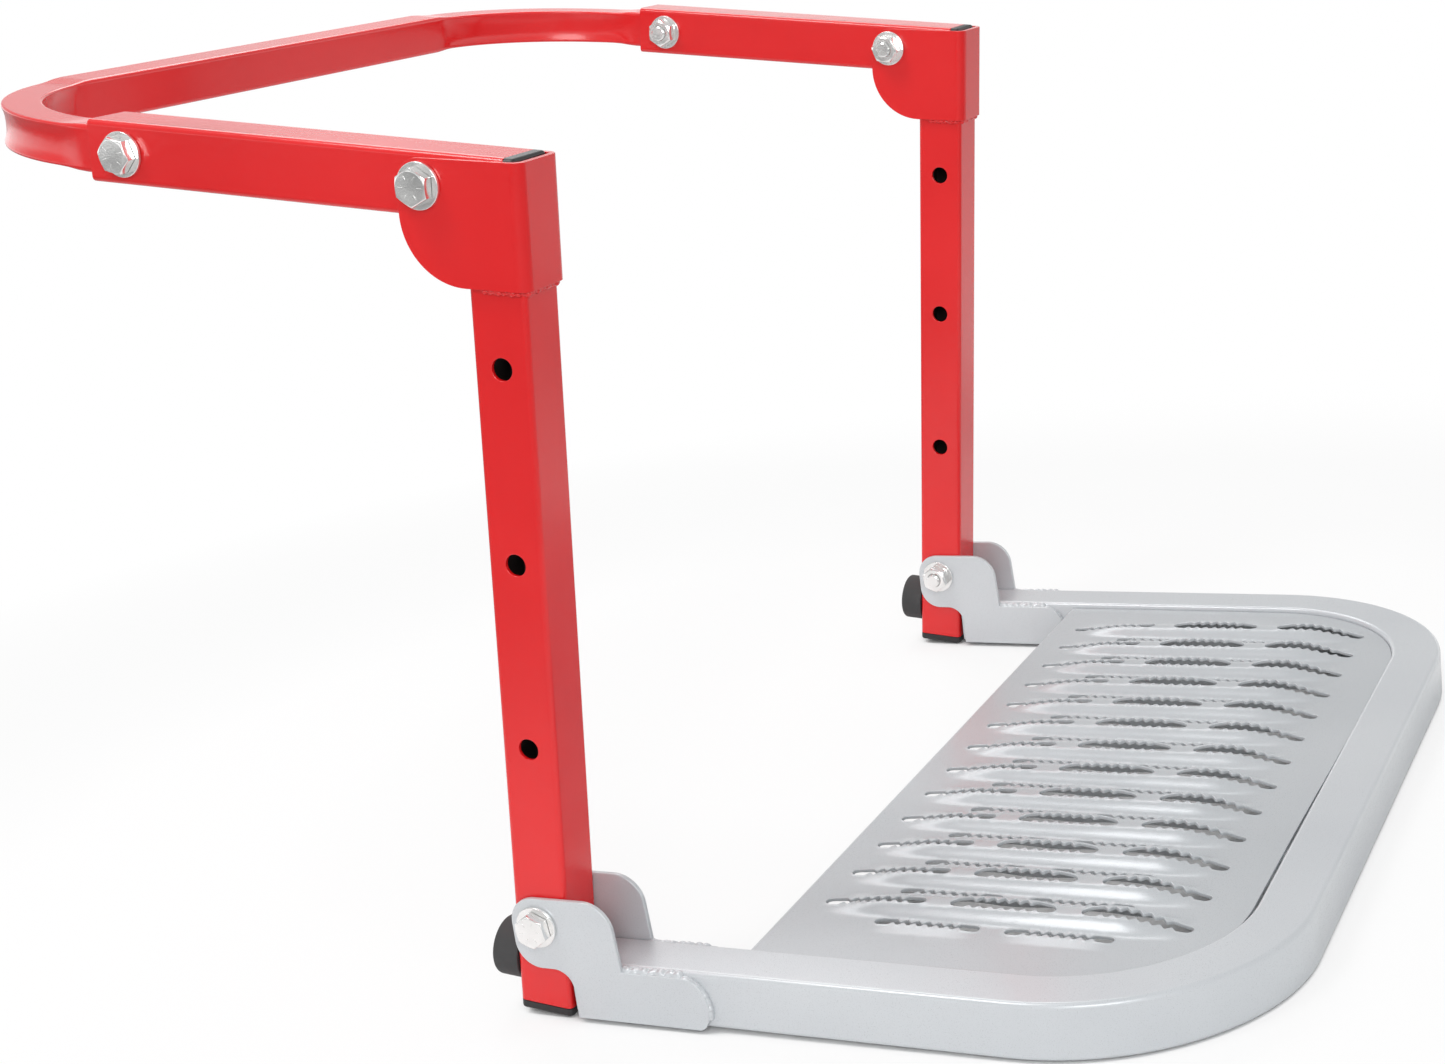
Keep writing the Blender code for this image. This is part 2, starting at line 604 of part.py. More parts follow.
def slot_side():
    """Half of a slot's outline, as (offset along the slot, half width): rounded ends and teeth."""
    corner_offset = SLOT / 2 - SLOT_CORNER
    points = [(-corner_offset, 0.45 * SLOT_WIDTH)]
    for k in range(2 * teeth - 1):
        depth = 0.0 if k % 2 else TOOTH
        points.append(((k - teeth + 1) * TOOTH_PITCH / 2, SLOT_WIDTH / 2 - depth))
    points.append((corner_offset, 0.45 * SLOT_WIDTH))
    return points


def slot_outline(row, middle_y, lift):
    """The slot's edge as (x, y, z) points, round both ends and along both toothed sides."""
    x = (row - (rows - 1) / 2) * ROW_PITCH
    on_ridge = row % 2 == 1
    points = []
    for side in (-1, 1):
        steps = slot_side() if side < 0 else slot_side()[::-1]
        for offset, half in steps:
            form = math.cos(math.pi * offset / SLOT)
            if on_ridge:
                z = ridge_height(middle_y + offset) + (lift * form if side > 0 else 0.0)
            else:
                z = form * (VALLEY_RISE if side < 0 else -VALLEY_SINK)
            points.append((x + side * half, middle_y + offset, z))
        end = middle_y - side * SLOT / 2
        points.append((x, end, ridge_height(end) if on_ridge else 0.0))
    return points


def tread_slots():
    """Each slot as (row, middle, lift of its far edge); each faces two bridges."""
    for row in range(rows):
        count = wide_row - 1 + row % 2
        for k in range(count):
            middle_y = ridge_middle + (k - (count - 1) / 2) * SLOT_PITCH
            yield row, middle_y, REAR_LIFT if k == count - 1 else LIFT


flat = []        # outline points in plan
heights = []
links = []
rings = []       # (first point, number of points): the sheet's own edge, then every slot's
ring_of = {}     # point: its ring


def add_ring(points):
    start = len(flat)
    for x, y, z in points:
        ring_of[len(flat)] = len(rings)
        flat.append(Vector((x, y)))
        heights.append(z)
    count = len(points)
    rings.append((start, count))
    links.extend((start + i, start + (i + 1) % count) for i in range(count))


add_ring([(x, y, 0.0) for x, y in edge])
for row, middle_y, lift in tread_slots():
    add_ring(slot_outline(row, middle_y, lift))
    # A tongue rises between a straight crease and the outermost slots.
    if row in (0, rows - 1):
        sign = -1 if row == 0 else 1
        crease = sign * ((rows - 1) / 2 * ROW_PITCH + SLOT_WIDTH / 2 + TAB)
        for k in range(-2, 3):
            flat.append(Vector((crease, middle_y + k * SLOT / 6)))
            heights.append(0.0)

made = delaunay_2d_cdt(flat, links, [], 1, 1e-7)
spots, origins = made[0], made[3]
owners = [{ring_of[source] for source in sources if source in ring_of} for sources in origins]


def spans_slot(face):
    """True for a triangle inside a slot: it has its corners on the slot's edge and its middle within."""
    shared = set.intersection(*(owners[i] for i in face)) - {0}
    if not shared:
        return False
    start, count = rings[shared.pop()]
    outline = flat[start:start + count]
    middle = sum((spots[i] for i in face), Vector((0, 0))) / len(face)
    inside = False
    for one, two in zip(outline, outline[1:] + outline[:1]):
        if (one.y > middle.y) != (two.y > middle.y):
            inside ^= middle.x < one.x + (middle.y - one.y) / (two.y - one.y) * (two.x - one.x)
    return inside


faces = [face for face in made[2] if not spans_slot(face)]
bm = bmesh.new()
tops = []
bottoms = []
for spot, source in zip(spots, origins):
    z = heights[source[0]] - TREAD_TOP
    tops.append(bm.verts.new((spot.x, spot.y, z)))
    bottoms.append(bm.verts.new((spot.x, spot.y, z - TREAD_SHEET)))
used = {}
for face in faces:
    bm.faces.new([tops[i] for i in face])
    bm.faces.new([bottoms[i] for i in reversed(face)])
    for i in range(len(face)):
        used[(face[i - 1], face[i])] = True
back_ends = {}
for one, two in used:
    if (two, one) in used:
        continue
    on_fold = [abs(spots[i].y - fold_y) < 1e-6 for i in (one, two)]
    if all(on_fold):
        back_ends = {spots[i].x > 0: i for i in (one, two)}
        continue
    bm.faces.new((tops[two], tops[one], bottoms[one], bottoms[two]))

# The rear edge is folded down: its profile runs from the tread's face to its underside.
lip_low = -TREAD_TOP - TREAD_LIP
profile = arc((fold_y, -TREAD_TOP - TREAD_SHEET), TREAD_SHEET, 90, 0, 4)[1:]
profile += [(-TREAD_BACK, lip_low), (fold_y, lip_low)]
ends = []
for right in (False, True):
    i = back_ends[right]
    x = spots[i].x
    ends.append([tops[i]] + [bm.verts.new((x, y, z)) for y, z in profile] + [bottoms[i]])
left_end, right_end = ends
for i in range(len(left_end) - 1):
    bm.faces.new((left_end[i], left_end[i + 1], right_end[i + 1], right_end[i]))
bm.faces.new(left_end)
bm.faces.new(right_end)
for vert in [v for v in bm.verts if not v.link_faces]:
    bm.verts.remove(vert)
place("tread_plate", finish_mesh("tread_plate", bm, GREY, 30), pivot)

# the origin: ground, middle
bpy.context.view_layer.update()
graph = bpy.context.evaluated_depsgraph_get()
low = Vector((math.inf,) * 3)
high = -low
for obj in bpy.context.scene.objects:
    if obj.type != "MESH" or obj.hide_render:
        continue
    solid = obj.evaluated_get(graph)
    for vert in solid.data.vertices:
        spot = solid.matrix_world @ vert.co
        low = Vector(map(min, low, spot))
        high = Vector(map(max, high, spot))
root.location = (-(low.x + high.x) / 2, -(low.y + high.y) / 2, -low.z)
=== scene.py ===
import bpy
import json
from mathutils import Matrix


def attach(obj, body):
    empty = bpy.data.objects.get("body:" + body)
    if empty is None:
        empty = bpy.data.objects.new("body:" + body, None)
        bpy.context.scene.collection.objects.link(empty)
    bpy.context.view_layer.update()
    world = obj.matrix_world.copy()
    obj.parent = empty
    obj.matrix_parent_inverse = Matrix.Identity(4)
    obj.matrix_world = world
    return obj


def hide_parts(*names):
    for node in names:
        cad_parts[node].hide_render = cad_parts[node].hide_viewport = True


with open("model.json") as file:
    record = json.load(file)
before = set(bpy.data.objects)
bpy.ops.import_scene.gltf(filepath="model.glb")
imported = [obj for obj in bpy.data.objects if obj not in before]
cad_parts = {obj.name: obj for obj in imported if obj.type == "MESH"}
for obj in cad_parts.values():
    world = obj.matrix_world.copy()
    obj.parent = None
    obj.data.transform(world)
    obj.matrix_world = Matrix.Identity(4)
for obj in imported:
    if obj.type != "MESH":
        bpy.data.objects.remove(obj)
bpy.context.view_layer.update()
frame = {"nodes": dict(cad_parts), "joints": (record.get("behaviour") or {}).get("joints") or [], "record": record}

import json
import math

import bmesh
import bpy
from mathutils import Matrix, Vector
from mathutils.geometry import delaunay_2d_cdt

record = frame["record"]
nodes = frame["nodes"]
scene = bpy.context.scene

# Each body's own axes, read from the frame: they lie on its joint and lean with its pieces.
# In them X is to the right, and Y and Z follow the body's own tubes.
pins = {joint["name"]: Vector(joint["pos_m"]) for joint in frame["joints"]}
faces = {mount["name"]: Vector(mount["axis"]) for mount in record["mounts"]}


def leaning(spot, turn):
    """Axes at a spot that are turned about X."""
    return Matrix.Translation(spot) @ Matrix.Rotation(turn, 4, "X")


rear_way = faces["bumper_face_left"]
up_way = faces["step_surface"]
seat_way = faces["tire_seat"]
UPRIGHTS = leaning(pins["step_fold"], math.atan2(rear_way.z, rear_way.y))
PLATFORM = leaning(pins["step_fold"], math.atan2(-up_way.y, up_way.z))
HOOP = leaning(pins["hoop_fold"], math.atan2(seat_way.y, -seat_way.z))

# Camera, at the photograph's place and angle
PHOTO_WIDTH = 1445              # pixels, as the next three values are
FOCAL = 2245.05
VIEW_CENTRE = (873.5, 588.0)    # where the camera points
PHOTO_CENTRE = (722.5, 532.0)
SENSOR = 36                     # mm
CAMERA_SPOT = (-1.2288, -0.5831, 0.5773)    # in the uprights' axes
YAW, PITCH, ROLL = math.radians(22.92), math.radians(19.95), math.radians(-0.71)
ahead = Vector((math.cos(PITCH) * math.cos(YAW), math.cos(PITCH) * math.sin(YAW), -math.sin(PITCH)))
level = Vector((math.sin(YAW), -math.cos(YAW), 0))
over = level.cross(ahead)
right = math.cos(ROLL) * level + math.sin(ROLL) * over
top = -math.sin(ROLL) * level + math.cos(ROLL) * over
camera = bpy.data.objects.new("camera", bpy.data.cameras.new("camera"))
scene.collection.objects.link(camera)
camera.data.sensor_width = SENSOR
camera.data.lens = FOCAL / PHOTO_WIDTH * SENSOR
camera.data.shift_x = (PHOTO_CENTRE[0] - VIEW_CENTRE[0]) / PHOTO_WIDTH
camera.data.shift_y = (VIEW_CENTRE[1] - PHOTO_CENTRE[1]) / PHOTO_WIDTH
camera.data.clip_start = 0.05
camera.data.clip_end = 60
turn = Matrix((right, top, -ahead)).transposed().to_4x4()
camera.matrix_world = UPRIGHTS @ Matrix.Translation(CAMERA_SPOT) @ turn
scene.camera = camera
scene.view_settings.view_transform = "Standard"


# Materials
def new_material(name):
    """A material with its node tree and its shader."""
    material = bpy.data.materials.new(name)
    material.use_nodes = True
    tree = material.node_tree
    return material, tree, tree.nodes["Principled BSDF"]


def noise(tree, scale, detail, roughness=0.5):
    """A noise on Object coordinates; a scale of 100 has spots of about 10 mm."""
    place = tree.nodes.new("ShaderNodeTexCoord")
    node = tree.nodes.new("ShaderNodeTexNoise")
    node.inputs["Scale"].default_value = scale
    node.inputs["Detail"].default_value = detail
    node.inputs["Roughness"].default_value = roughness
    tree.links.new(place.outputs["Object"], node.inputs["Vector"])
    return node


def colour_between(tree, source, low, high, target, start=0.3, end=0.7):
    """Runs a colour from low to high while the source goes from start to end."""
    ramp = tree.nodes.new("ShaderNodeValToRGB")
    ramp.color_ramp.elements[0].position = start
    ramp.color_ramp.elements[0].color = (*low, 1)
    ramp.color_ramp.elements[1].position = end
    ramp.color_ramp.elements[1].color = (*high, 1)
    tree.links.new(source, ramp.inputs["Fac"])
    tree.links.new(ramp.outputs["Color"], target)


def map_range(tree, source, start, end, low, high):
    """A value that goes from low to high while the source goes from start to end."""
    node = tree.nodes.new("ShaderNodeMapRange")
    for name, number in (("From Min", start), ("From Max", end), ("To Min", low), ("To Max", high)):
        node.inputs[name].default_value = number
    tree.links.new(source, node.inputs["Value"])
    return node.outputs["Result"]


def value_between(tree, source, low, high, target):
    tree.links.new(map_range(tree, source, 0.3, 0.7, low, high), target)


def bump(tree, shader, source, strength, distance):
    node = tree.nodes.new("ShaderNodeBump")
    node.inputs["Strength"].default_value = strength
    node.inputs["Distance"].default_value = distance
    tree.links.new(source, node.inputs["Height"])
    tree.links.new(node.outputs["Normal"], shader.inputs["Normal"])


def red_powder_coat():
    material, tree, shader = new_material("red powder coat")
    cloud = noise(tree, 9, 4)
    peel = noise(tree, 260, 2, 0.45)
    colour_between(tree, cloud.outputs["Fac"], (0.680, 0.0065, 0.0085), (0.745, 0.010, 0.012),
                   shader.inputs["Base Color"])
    value_between(tree, cloud.outputs["Fac"], 0.20, 0.27, shader.inputs["Roughness"])
    shader.inputs["Coat Weight"].default_value = 0.30
    shader.inputs["Coat Roughness"].default_value = 0.10
    bump(tree, shader, peel.outputs["Fac"], 0.16, 0.0006)
    return material


def grey_paint(name, low, high, coat):
    material, tree, shader = new_material(name)
    cloud = noise(tree, 6, 4)
    peel = noise(tree, 300, 2, 0.5)
    fleck = noise(tree, 2400, 1, 0.5)
    colour_between(tree, cloud.outputs["Fac"], low, high, shader.inputs["Base Color"])
    value_between(tree, fleck.outputs["Fac"], 0.26, 0.40, shader.inputs["Roughness"])
    shader.inputs["Metallic"].default_value = 0.15
    shader.inputs["Coat Weight"].default_value = coat
    shader.inputs["Coat Roughness"].default_value = 0.10
    bump(tree, shader, peel.outputs["Fac"], 0.12, 0.0005)
    return material


def zinc_plate():
    material, tree, shader = new_material("bright zinc plate")
    cloud = noise(tree, 90, 3)
    grain = noise(tree, 900, 2)
    colour_between(tree, cloud.outputs["Fac"], (0.82, 0.82, 0.81), (0.95, 0.95, 0.94),
                   shader.inputs["Base Color"])
    value_between(tree, cloud.outputs["Fac"], 0.10, 0.22, shader.inputs["Roughness"])
    shader.inputs["Metallic"].default_value = 0.85
    bump(tree, shader, grain.outputs["Fac"], 0.15, 0.0002)
    return material


def black_plastic():
    material, tree, shader = new_material("black plastic")
    grain = noise(tree, 1500, 2)
    cloud = noise(tree, 30, 3)
    colour_between(tree, cloud.outputs["Fac"], (0.014, 0.014, 0.015), (0.028, 0.028, 0.029),
                   shader.inputs["Base Color"])
    value_between(tree, cloud.outputs["Fac"], 0.38, 0.50, shader.inputs["Roughness"])
    bump(tree, shader, grain.outputs["Fac"], 0.2, 0.0002)
    return material


def black_rubber():
    material, tree, shader = new_material("black rubber")
    grain = noise(tree, 800, 3)
    cloud = noise(tree, 45, 3)
    colour_between(tree, cloud.outputs["Fac"], (0.030, 0.030, 0.031), (0.052, 0.052, 0.053),
                   shader.inputs["Base Color"])
    value_between(tree, cloud.outputs["Fac"], 0.60, 0.78, shader.inputs["Roughness"])
    bump(tree, shader, grain.outputs["Fac"], 0.3, 0.0003)
    return material


FINISHES = {
    "red_powder_coat": red_powder_coat(),
    "grey_paint": grey_paint("silver grey paint", (0.530, 0.555, 0.580), (0.590, 0.615, 0.635), 0.4),
    "zinc_plate": zinc_plate(),
    "black_plastic": black_plastic(),
    "black_rubber": black_rubber(),
}
SHEET_PAINT = grey_paint("silver grey paint on the sheet", (0.470, 0.495, 0.515),
                         (0.520, 0.545, 0.565), 0.15)


# Near-black painted shade for the inside of the tubes, standing in for the dark where little light reaches
def bore_shade_material():
    material, tree, shader = new_material("painted shade in the tube bores")
    cloud = noise(tree, 40, 4)
    colour_between(tree, cloud.outputs["Fac"], (0.012, 0.010, 0.010), (0.030, 0.022, 0.020),
                   shader.inputs["Base Color"])
    value_between(tree, cloud.outputs["Fac"], 0.6, 0.8, shader.inputs["Roughness"])
    return material


PAINTED_BORE_SHADE = bore_shade_material()

# Sizes of the pieces, in metres, as in the frame. Heights and distances are in the piece's own
# axes, from the pivot bolt for the uprights and the platform and from the elbow bolt for the hoop.
SIDES = (("left", -1), ("right", 1))
CLOSE = 1e-5                    # a corner this near to a place is at it
SPAN = 0.595                    # between the two uprights' middles
GAP = 0.0003                    # between two pieces that touch
TUBE, TUBE_WALL, TUBE_CORNER = 0.032, 0.002, 0.003
HALF = TUBE / 2
SHEET = 0.003                   # brackets and hinge plates
FACE = HALF + GAP + SHEET       # from a tube's middle to such a sheet's outer face
HOLE = 0.0115
HOLE_RIM = 0.0005
END_RIM = 0.0003                # rounding of a tube's sawn ends

UPRIGHT_ABOVE, UPRIGHT_BELOW, HOLE_PITCH, HOLES = 0.3757, 0.0494, 0.1016, 4
FOOT_FLANGE, PLUG_DEPTH = 0.005, 0.012
BUMPER, BUMPER_LENGTH, BUMPER_DROP = 0.033, 0.016, 0.0265
BUMPER_ROUND, BUMPER_RIM = 0.002, 0.0006
BUMPER_POCKET, POCKET_DEPTH, BUMPER_HOLE = 0.007, 0.006, 0.0033     # the first and last are radii
SCREW_HEAD, SCREW_ROUND, SCREW_SHANK, SCREW_SOCKET = 0.0055, 0.0016, 0.0030, 0.0023   # radii
SCREW_SEAT, SCREW_HEIGHT, SOCKET_FLOOR, SCREW_PAST = 0.0103, 0.003, 0.0012, 0.0038

ARM_FRONT, ARM_CAP, ARM_REAR, HOOP_BOLT = 0.0445, 0.006, 0.2015, 0.180
HOOP_TUBE, HOOP_WALL, HOOP_CORNER = 0.0248, 0.0015, 0.003
HOOP_REACH, HOOP_BEND, LEG_START = 0.3242, 0.116, 0.140
PRESS_OUTER, PRESS_INNER, PRESS_PINCH, PRESS_FLAT = 0.0038, 0.0022, 0.0012, 0.0012
PRESS_FADE = math.radians(9)

ELBOW = UPRIGHTS.inverted() @ HOOP.translation
BRACKET_LOW, BRACKET_EDGE, BRACKET_SWEEP = UPRIGHT_ABOVE - 0.0312, 0.0133, 0.035
FOLD = 0.0036                   # the folded sheet's inner radius

STEP_REACH, STEP_DROP, STEP_BEND, LEG_BACK = 0.390, 0.021, 0.130, 0.01407

# Formed tread: 26 rows of slots with rounded teeth. The slots of every second row lie on a ridge,
# and the sheet sinks between the ridges.
ROWS, ROW_PITCH = 26, 0.0187
SLOT, SLOT_PITCH, SLOT_WIDTH, SLOT_END = 0.060, 0.0746, 0.008, 0.0040
TOOTH, TOOTH_PITCH, TEETH = 0.0029, 0.0063, 7
TOOTHED = TEETH * TOOTH_PITCH / 2                        # half of a slot's toothed stretch
RIDGE_REAR, RIDGE_FRONT, RIDGE_RAMP = 0.0044, 0.0062, 0.040
LIFT, REAR_LIFT, FRONT_DROOP = 0.0030, -0.0004, 0.0018   # of a ridge slot's far edge
VALLEY_RISE, VALLEY_SINK, TAB = 0.0012, 0.0002, 0.010
TREAD_SHEET, TREAD_TOP, TREAD_BACK, TREAD_LIP, BACK_MARGIN = 0.002, 0.0245, 0.104, 0.018, 0.0181
RIM, COLLAR = 0.00060, 0.0012                            # a slot's rolled rim, and the sheet round it
FOLD_RIM = 0.0004                                        # rounding of the folded edge's own edges
RIDGE_HALF = SLOT_PITCH + SLOT / 2
RIDGE_MIDDLE = -TREAD_BACK - BACK_MARGIN - RIDGE_HALF
HALF_ROWS = (ROWS - 1) / 2

# Ways to lay a flat start: as it is, seen from the side (its normal along X), or across a tube
# that runs along Y
FLAT = Matrix.Identity(4)
SIDE_ON = Matrix(((0, 0, 1, 0), (1, 0, 0, 0), (0, 1, 0, 0), (0, 0, 0, 1)))
END_ON = Matrix(((0, 1, 0, 0), (0, 0, 1, 0), (1, 0, 0, 0), (0, 0, 0, 1)))


# Shaping
def nothing_selected():
    if bpy.context.mode != "OBJECT":
        bpy.ops.object.mode_set(mode="OBJECT")
    bpy.ops.object.select_all(action="DESELECT")


def only(piece):
    """Makes a piece the only one selected, and active."""
    nothing_selected()
    piece.select_set(True)
    bpy.context.view_layer.objects.active = piece


def move_into_mesh(piece):
    """Puts the object's place in its mesh, so that the object sits at the origin."""
    only(piece)
    bpy.ops.object.transform_apply(location=True, rotation=True, scale=True)


def open_mesh(piece):
    only(piece)
    bpy.ops.object.mode_set(mode="EDIT")


def close_mesh():
    bpy.ops.object.mode_set(mode="OBJECT")


def pick(kind, test):
    """Selects those corners, edges or faces of the open mesh that pass the test of (middle, item)."""
    bpy.ops.mesh.select_mode(type=kind)
    bpy.ops.mesh.select_all(action="DESELECT")
    data = bpy.context.object.data
    mesh = bmesh.from_edit_mesh(data)
    if kind == "VERT":
        found = [v for v in mesh.verts if test(v.co, v)]
    elif kind == "EDGE":
        found = [e for e in mesh.edges if test((e.verts[0].co + e.verts[1].co) / 2, e)]
    else:
        mesh.normal_update()
        found = [f for f in mesh.faces if test(f.calc_center_median(), f)]
    for item in found:
        item.select_set(True)
    bmesh.update_edit_mesh(data)
    return len(found)


def rectangle(u, v, view, place=(0, 0, 0)):
    """Opens a flat piece that spans the pairs u and v in the view."""
    nothing_selected()
    bpy.ops.mesh.primitive_plane_add(size=1, location=((u[0] + u[1]) / 2, (v[0] + v[1]) / 2, 0))
    piece = bpy.context.object
    piece.scale = (u[1] - u[0], v[1] - v[0], 1)
    move_into_mesh(piece)
    piece.matrix_world = Matrix.Translation(place) @ view
    move_into_mesh(piece)
    open_mesh(piece)
    return piece


def round_corners(radius, test, segments):
    """Rounds those corners of a flat open piece that pass the test."""
    pick("VERT", test)
    bpy.ops.mesh.bevel(offset=radius, segments=segments, affect="VERTICES")


def draw_out(way):
    """Extrudes what is selected along (x, y, z)."""
    bpy.ops.mesh.extrude_region_move(TRANSFORM_OT_translate={"value": way})


def tube_end(size, corner, wall, view, place, cuts=0):
    """Opens a piece as the ring-shaped end of a square tube, ready to be drawn out."""
    reach = size / 2
    piece = rectangle((-reach, reach), (-reach, reach), view, place)
    if cuts:
        bpy.ops.mesh.subdivide(number_cuts=cuts)
        bpy.ops.mesh.dissolve_faces()
    round_corners(corner, lambda spot, _: (spot - Vector(place)).length > 0.7 * size, 6)
    bpy.ops.mesh.select_mode(type="FACE")
    bpy.ops.mesh.select_all(action="SELECT")
    bpy.ops.mesh.inset(thickness=wall)
    bpy.ops.mesh.delete(type="FACE")
    bpy.ops.mesh.select_all(action="SELECT")
    return piece


def outward():
    """Turns the open mesh's faces outwards."""
    bpy.ops.mesh.select_all(action="SELECT")
    bpy.ops.mesh.normals_make_consistent(inside=False)


def soften(width, segments, test=None):
    """Rounds the open mesh's sharp edges, or the edges that pass the test."""
    limit = math.radians(40)
    pick("EDGE", test or (lambda _, edge: edge.is_manifold and edge.calc_face_angle() > limit))
    bpy.ops.mesh.bevel(offset=width, segments=segments, affect="EDGES", clamp_overlap=False)


def soften_ends(axis, low, high):
    """Rounds the open tube's sawn ends, which lie at low and high along an axis."""
    soften(END_RIM, 2, lambda spot, edge: (spot[axis] > high - CLOSE or spot[axis] < CLOSE + low) and
           abs(edge.verts[0].co[axis] - edge.verts[1].co[axis]) < 1e-6)


def shape_with(piece, tool, operation="DIFFERENCE"):
    """Cuts a piece with a tool, or joins or intersects them; the tool is used up."""
    only(piece)
    step = piece.modifiers.new("shape", "BOOLEAN")
    step.operation = operation
    step.solver = "EXACT"
    step.object = tool
    bpy.ops.object.modifier_apply(modifier="shape")
    bpy.data.objects.remove(tool)


def rod(radius, low, high, centre=(0, 0), sides=48, axis="X"):
    """A closed round bar along an axis, as a tool or as the start of a piece."""
    nothing_selected()
    turn = {"X": (0, math.pi / 2, 0), "Y": (math.pi / 2, 0, 0), "Z": (0, 0, 0)}[axis]
    middle = (low + high) / 2
    place = {"X": (middle, *centre), "Y": (centre[0], middle, centre[1]), "Z": (*centre, middle)}[axis]
    bpy.ops.mesh.primitive_cylinder_add(vertices=sides, radius=radius, depth=high - low,
                                        location=place, rotation=turn)
    piece = bpy.context.object
    move_into_mesh(piece)
    return piece


def bore(piece, centres):
    """Plain bolt holes along X, right through."""
    for centre in centres:
        shape_with(piece, rod(HOLE / 2, -TUBE, TUBE, centre))


def drill(piece, centres):
    """Bolt holes along X through a 32 mm tube, their rims rounded on its two faces."""
    radius, lip = HOLE / 2, HOLE_RIM
    for centre in centres:
        tool = rod(radius, lip - HALF, HALF - lip, centre, 64)
        open_mesh(tool)
        for way in (1, -1):
            pick("FACE", lambda _, face: face.normal.x * way > 0.9)
            reach = radius
            for turn in (30, 60, 90):
                a, b = math.radians(turn - 30), math.radians(turn)
                wider = radius + lip * (1 - math.cos(b))
                draw_out((way * lip * (math.sin(b) - math.sin(a)), 0, 0))
                bpy.ops.transform.resize(value=(1, wider / reach, wider / reach),
                                         center_override=(0, *centre))
                reach = wider
            draw_out((way * TUBE_WALL, 0, 0))
        outward()
        close_mesh()
        shape_with(piece, tool)


def smooth(piece, angle=35):
    """Smooth shading that keeps sharp edges, with the flats left truly flat."""
    only(piece)
    bpy.ops.object.shade_smooth_by_angle(angle=math.radians(angle))
    even = piece.modifiers.new("even", "WEIGHTED_NORMAL")
    even.keep_sharp = True
    bpy.ops.object.modifier_apply(modifier="even")


def settle(piece, name, axes, body, slot, *stands_for):
    """Puts a finished piece in its place on a body."""
    piece.name = name
    piece.data.name = name
    piece.matrix_world = axes
    move_into_mesh(piece)
    if not piece.data.materials:
        piece.data.materials.append(FINISHES[slot])
    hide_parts(*stands_for)
    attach(piece, body)
    return piece


def copied(piece):
    """A copy with its own mesh."""
    twin = piece.copy()
    twin.data = piece.data.copy()
    scene.collection.objects.link(twin)
    return twin


def settle_each(piece, spots):
    """Settles a piece and its copies: each spot is (name, axes, body, slot, nodes it stands for)."""
    pieces = [piece] + [copied(piece) for _ in spots[1:]]
    for one, (name, axes, body, slot, *stands_for) in zip(pieces, spots):
        settle(one, name, axes, body, slot, *stands_for)


def paint_shade_in_bore(piece, across):
    """Paints the bore of a straight tube near black, as painted shade; its section lies in X and the axis across.
    """
    piece.data.materials.append(FINISHES["red_powder_coat"])
    piece.data.materials.append(PAINTED_BORE_SHADE)
    for face in piece.data.polygons:
        reach = max(abs(face.center.x), abs(face.center[across]))
        face.material_index = 1 if reach < HALF - TUBE_WALL + 0.0004 else 0


def move(x=0.0, y=0.0, z=0.0, turn=0.0):
    """A shift within a body's axes, after a turn about Z."""
    return Matrix.Translation((x, y, z)) @ Matrix.Rotation(turn, 4, "Z")


# Uprights
def make_uprights():
    spots = [(0, i * HOLE_PITCH) for i in range(HOLES)]
    piece = tube_end(TUBE, TUBE_CORNER, TUBE_WALL, FLAT, (0, 0, -UPRIGHT_BELOW))
    draw_out((0, 0, UPRIGHT_ABOVE + UPRIGHT_BELOW))
    outward()
    drill(piece, spots)
    shape_with(piece, rod(BUMPER_HOLE, HALF / 2, 0.03, (0, -BUMPER_DROP), 24, "Y"))
    open_mesh(piece)
    soften_ends(2, -UPRIGHT_BELOW, UPRIGHT_ABOVE)
    close_mesh()
    paint_shade_in_bore(piece, 1)
    smooth(piece)
    settle_each(piece, [(f"upright_tube_{side}", UPRIGHTS @ move(sign * SPAN / 2), "uprights",
                         "red_powder_coat", f"upright_{side}") for side, sign in SIDES])


# Arms
def make_arms():
    piece = tube_end(TUBE, TUBE_CORNER, TUBE_WALL, END_ON, (0, -ARM_FRONT, 0))
    draw_out((0, ARM_FRONT + ARM_REAR, 0))
    outward()
    bore(piece, [(0, 0), (HOOP_BOLT, 0)])
    open_mesh(piece)
    soften_ends(1, -ARM_FRONT, ARM_REAR)
    close_mesh()
    paint_shade_in_bore(piece, 2)
    smooth(piece)
    settle_each(piece, [(f"arm_tube_{side}", HOOP @ move(sign * SPAN / 2), "hoop_and_arms",
                         "red_powder_coat", f"arm_{side}") for side, sign in SIDES])


# Hoop: one length of tube with two bends
def press_bend(centre, outer_side):
    """Presses the bend's outer and inner walls in and draws its corners together."""
    data = bpy.context.object.data
    mesh = bmesh.from_edit_mesh(data)
    half = HOOP_TUBE / 2
    for vert in mesh.verts:
        out = Vector(((vert.co.x - centre[0]) * outer_side, vert.co.y - centre[1]))
        if min(out) < -1e-6:
            continue
        turn = math.atan2(out.y, out.x)
        fade = min(1.0, turn / PRESS_FADE, (math.pi / 2 - turn) / PRESS_FADE)
        fade = fade * fade * (3 - 2 * fade)
        across = min(1.0, abs(vert.co.z) / half)
        share = (out.length - HOOP_BEND) / half
        dip = 1 - across ** 3
        flat = PRESS_FLAT * (share + 1) / 2
        if share > 0.8:
            shift = -flat - (PRESS_OUTER - PRESS_FLAT) * dip
        elif share < -0.8:
            shift = PRESS_INNER * dip
        else:
            shift = -flat
        longer = (out.length + shift * fade) / out.length
        vert.co.x = centre[0] + (vert.co.x - centre[0]) * longer
        vert.co.y = centre[1] + (vert.co.y - centre[1]) * longer
        vert.co.z -= math.copysign(PRESS_PINCH * fade * across, vert.co.z)
    bmesh.update_edit_mesh(data)


def bend(centre, way, steps=28):
    """Turns the open tube's end by 90 degrees about a centre, to the left (1) or right (-1)."""
    bpy.ops.mesh.spin(steps=steps, angle=math.pi / 2, center=centre, axis=(0, 0, way))


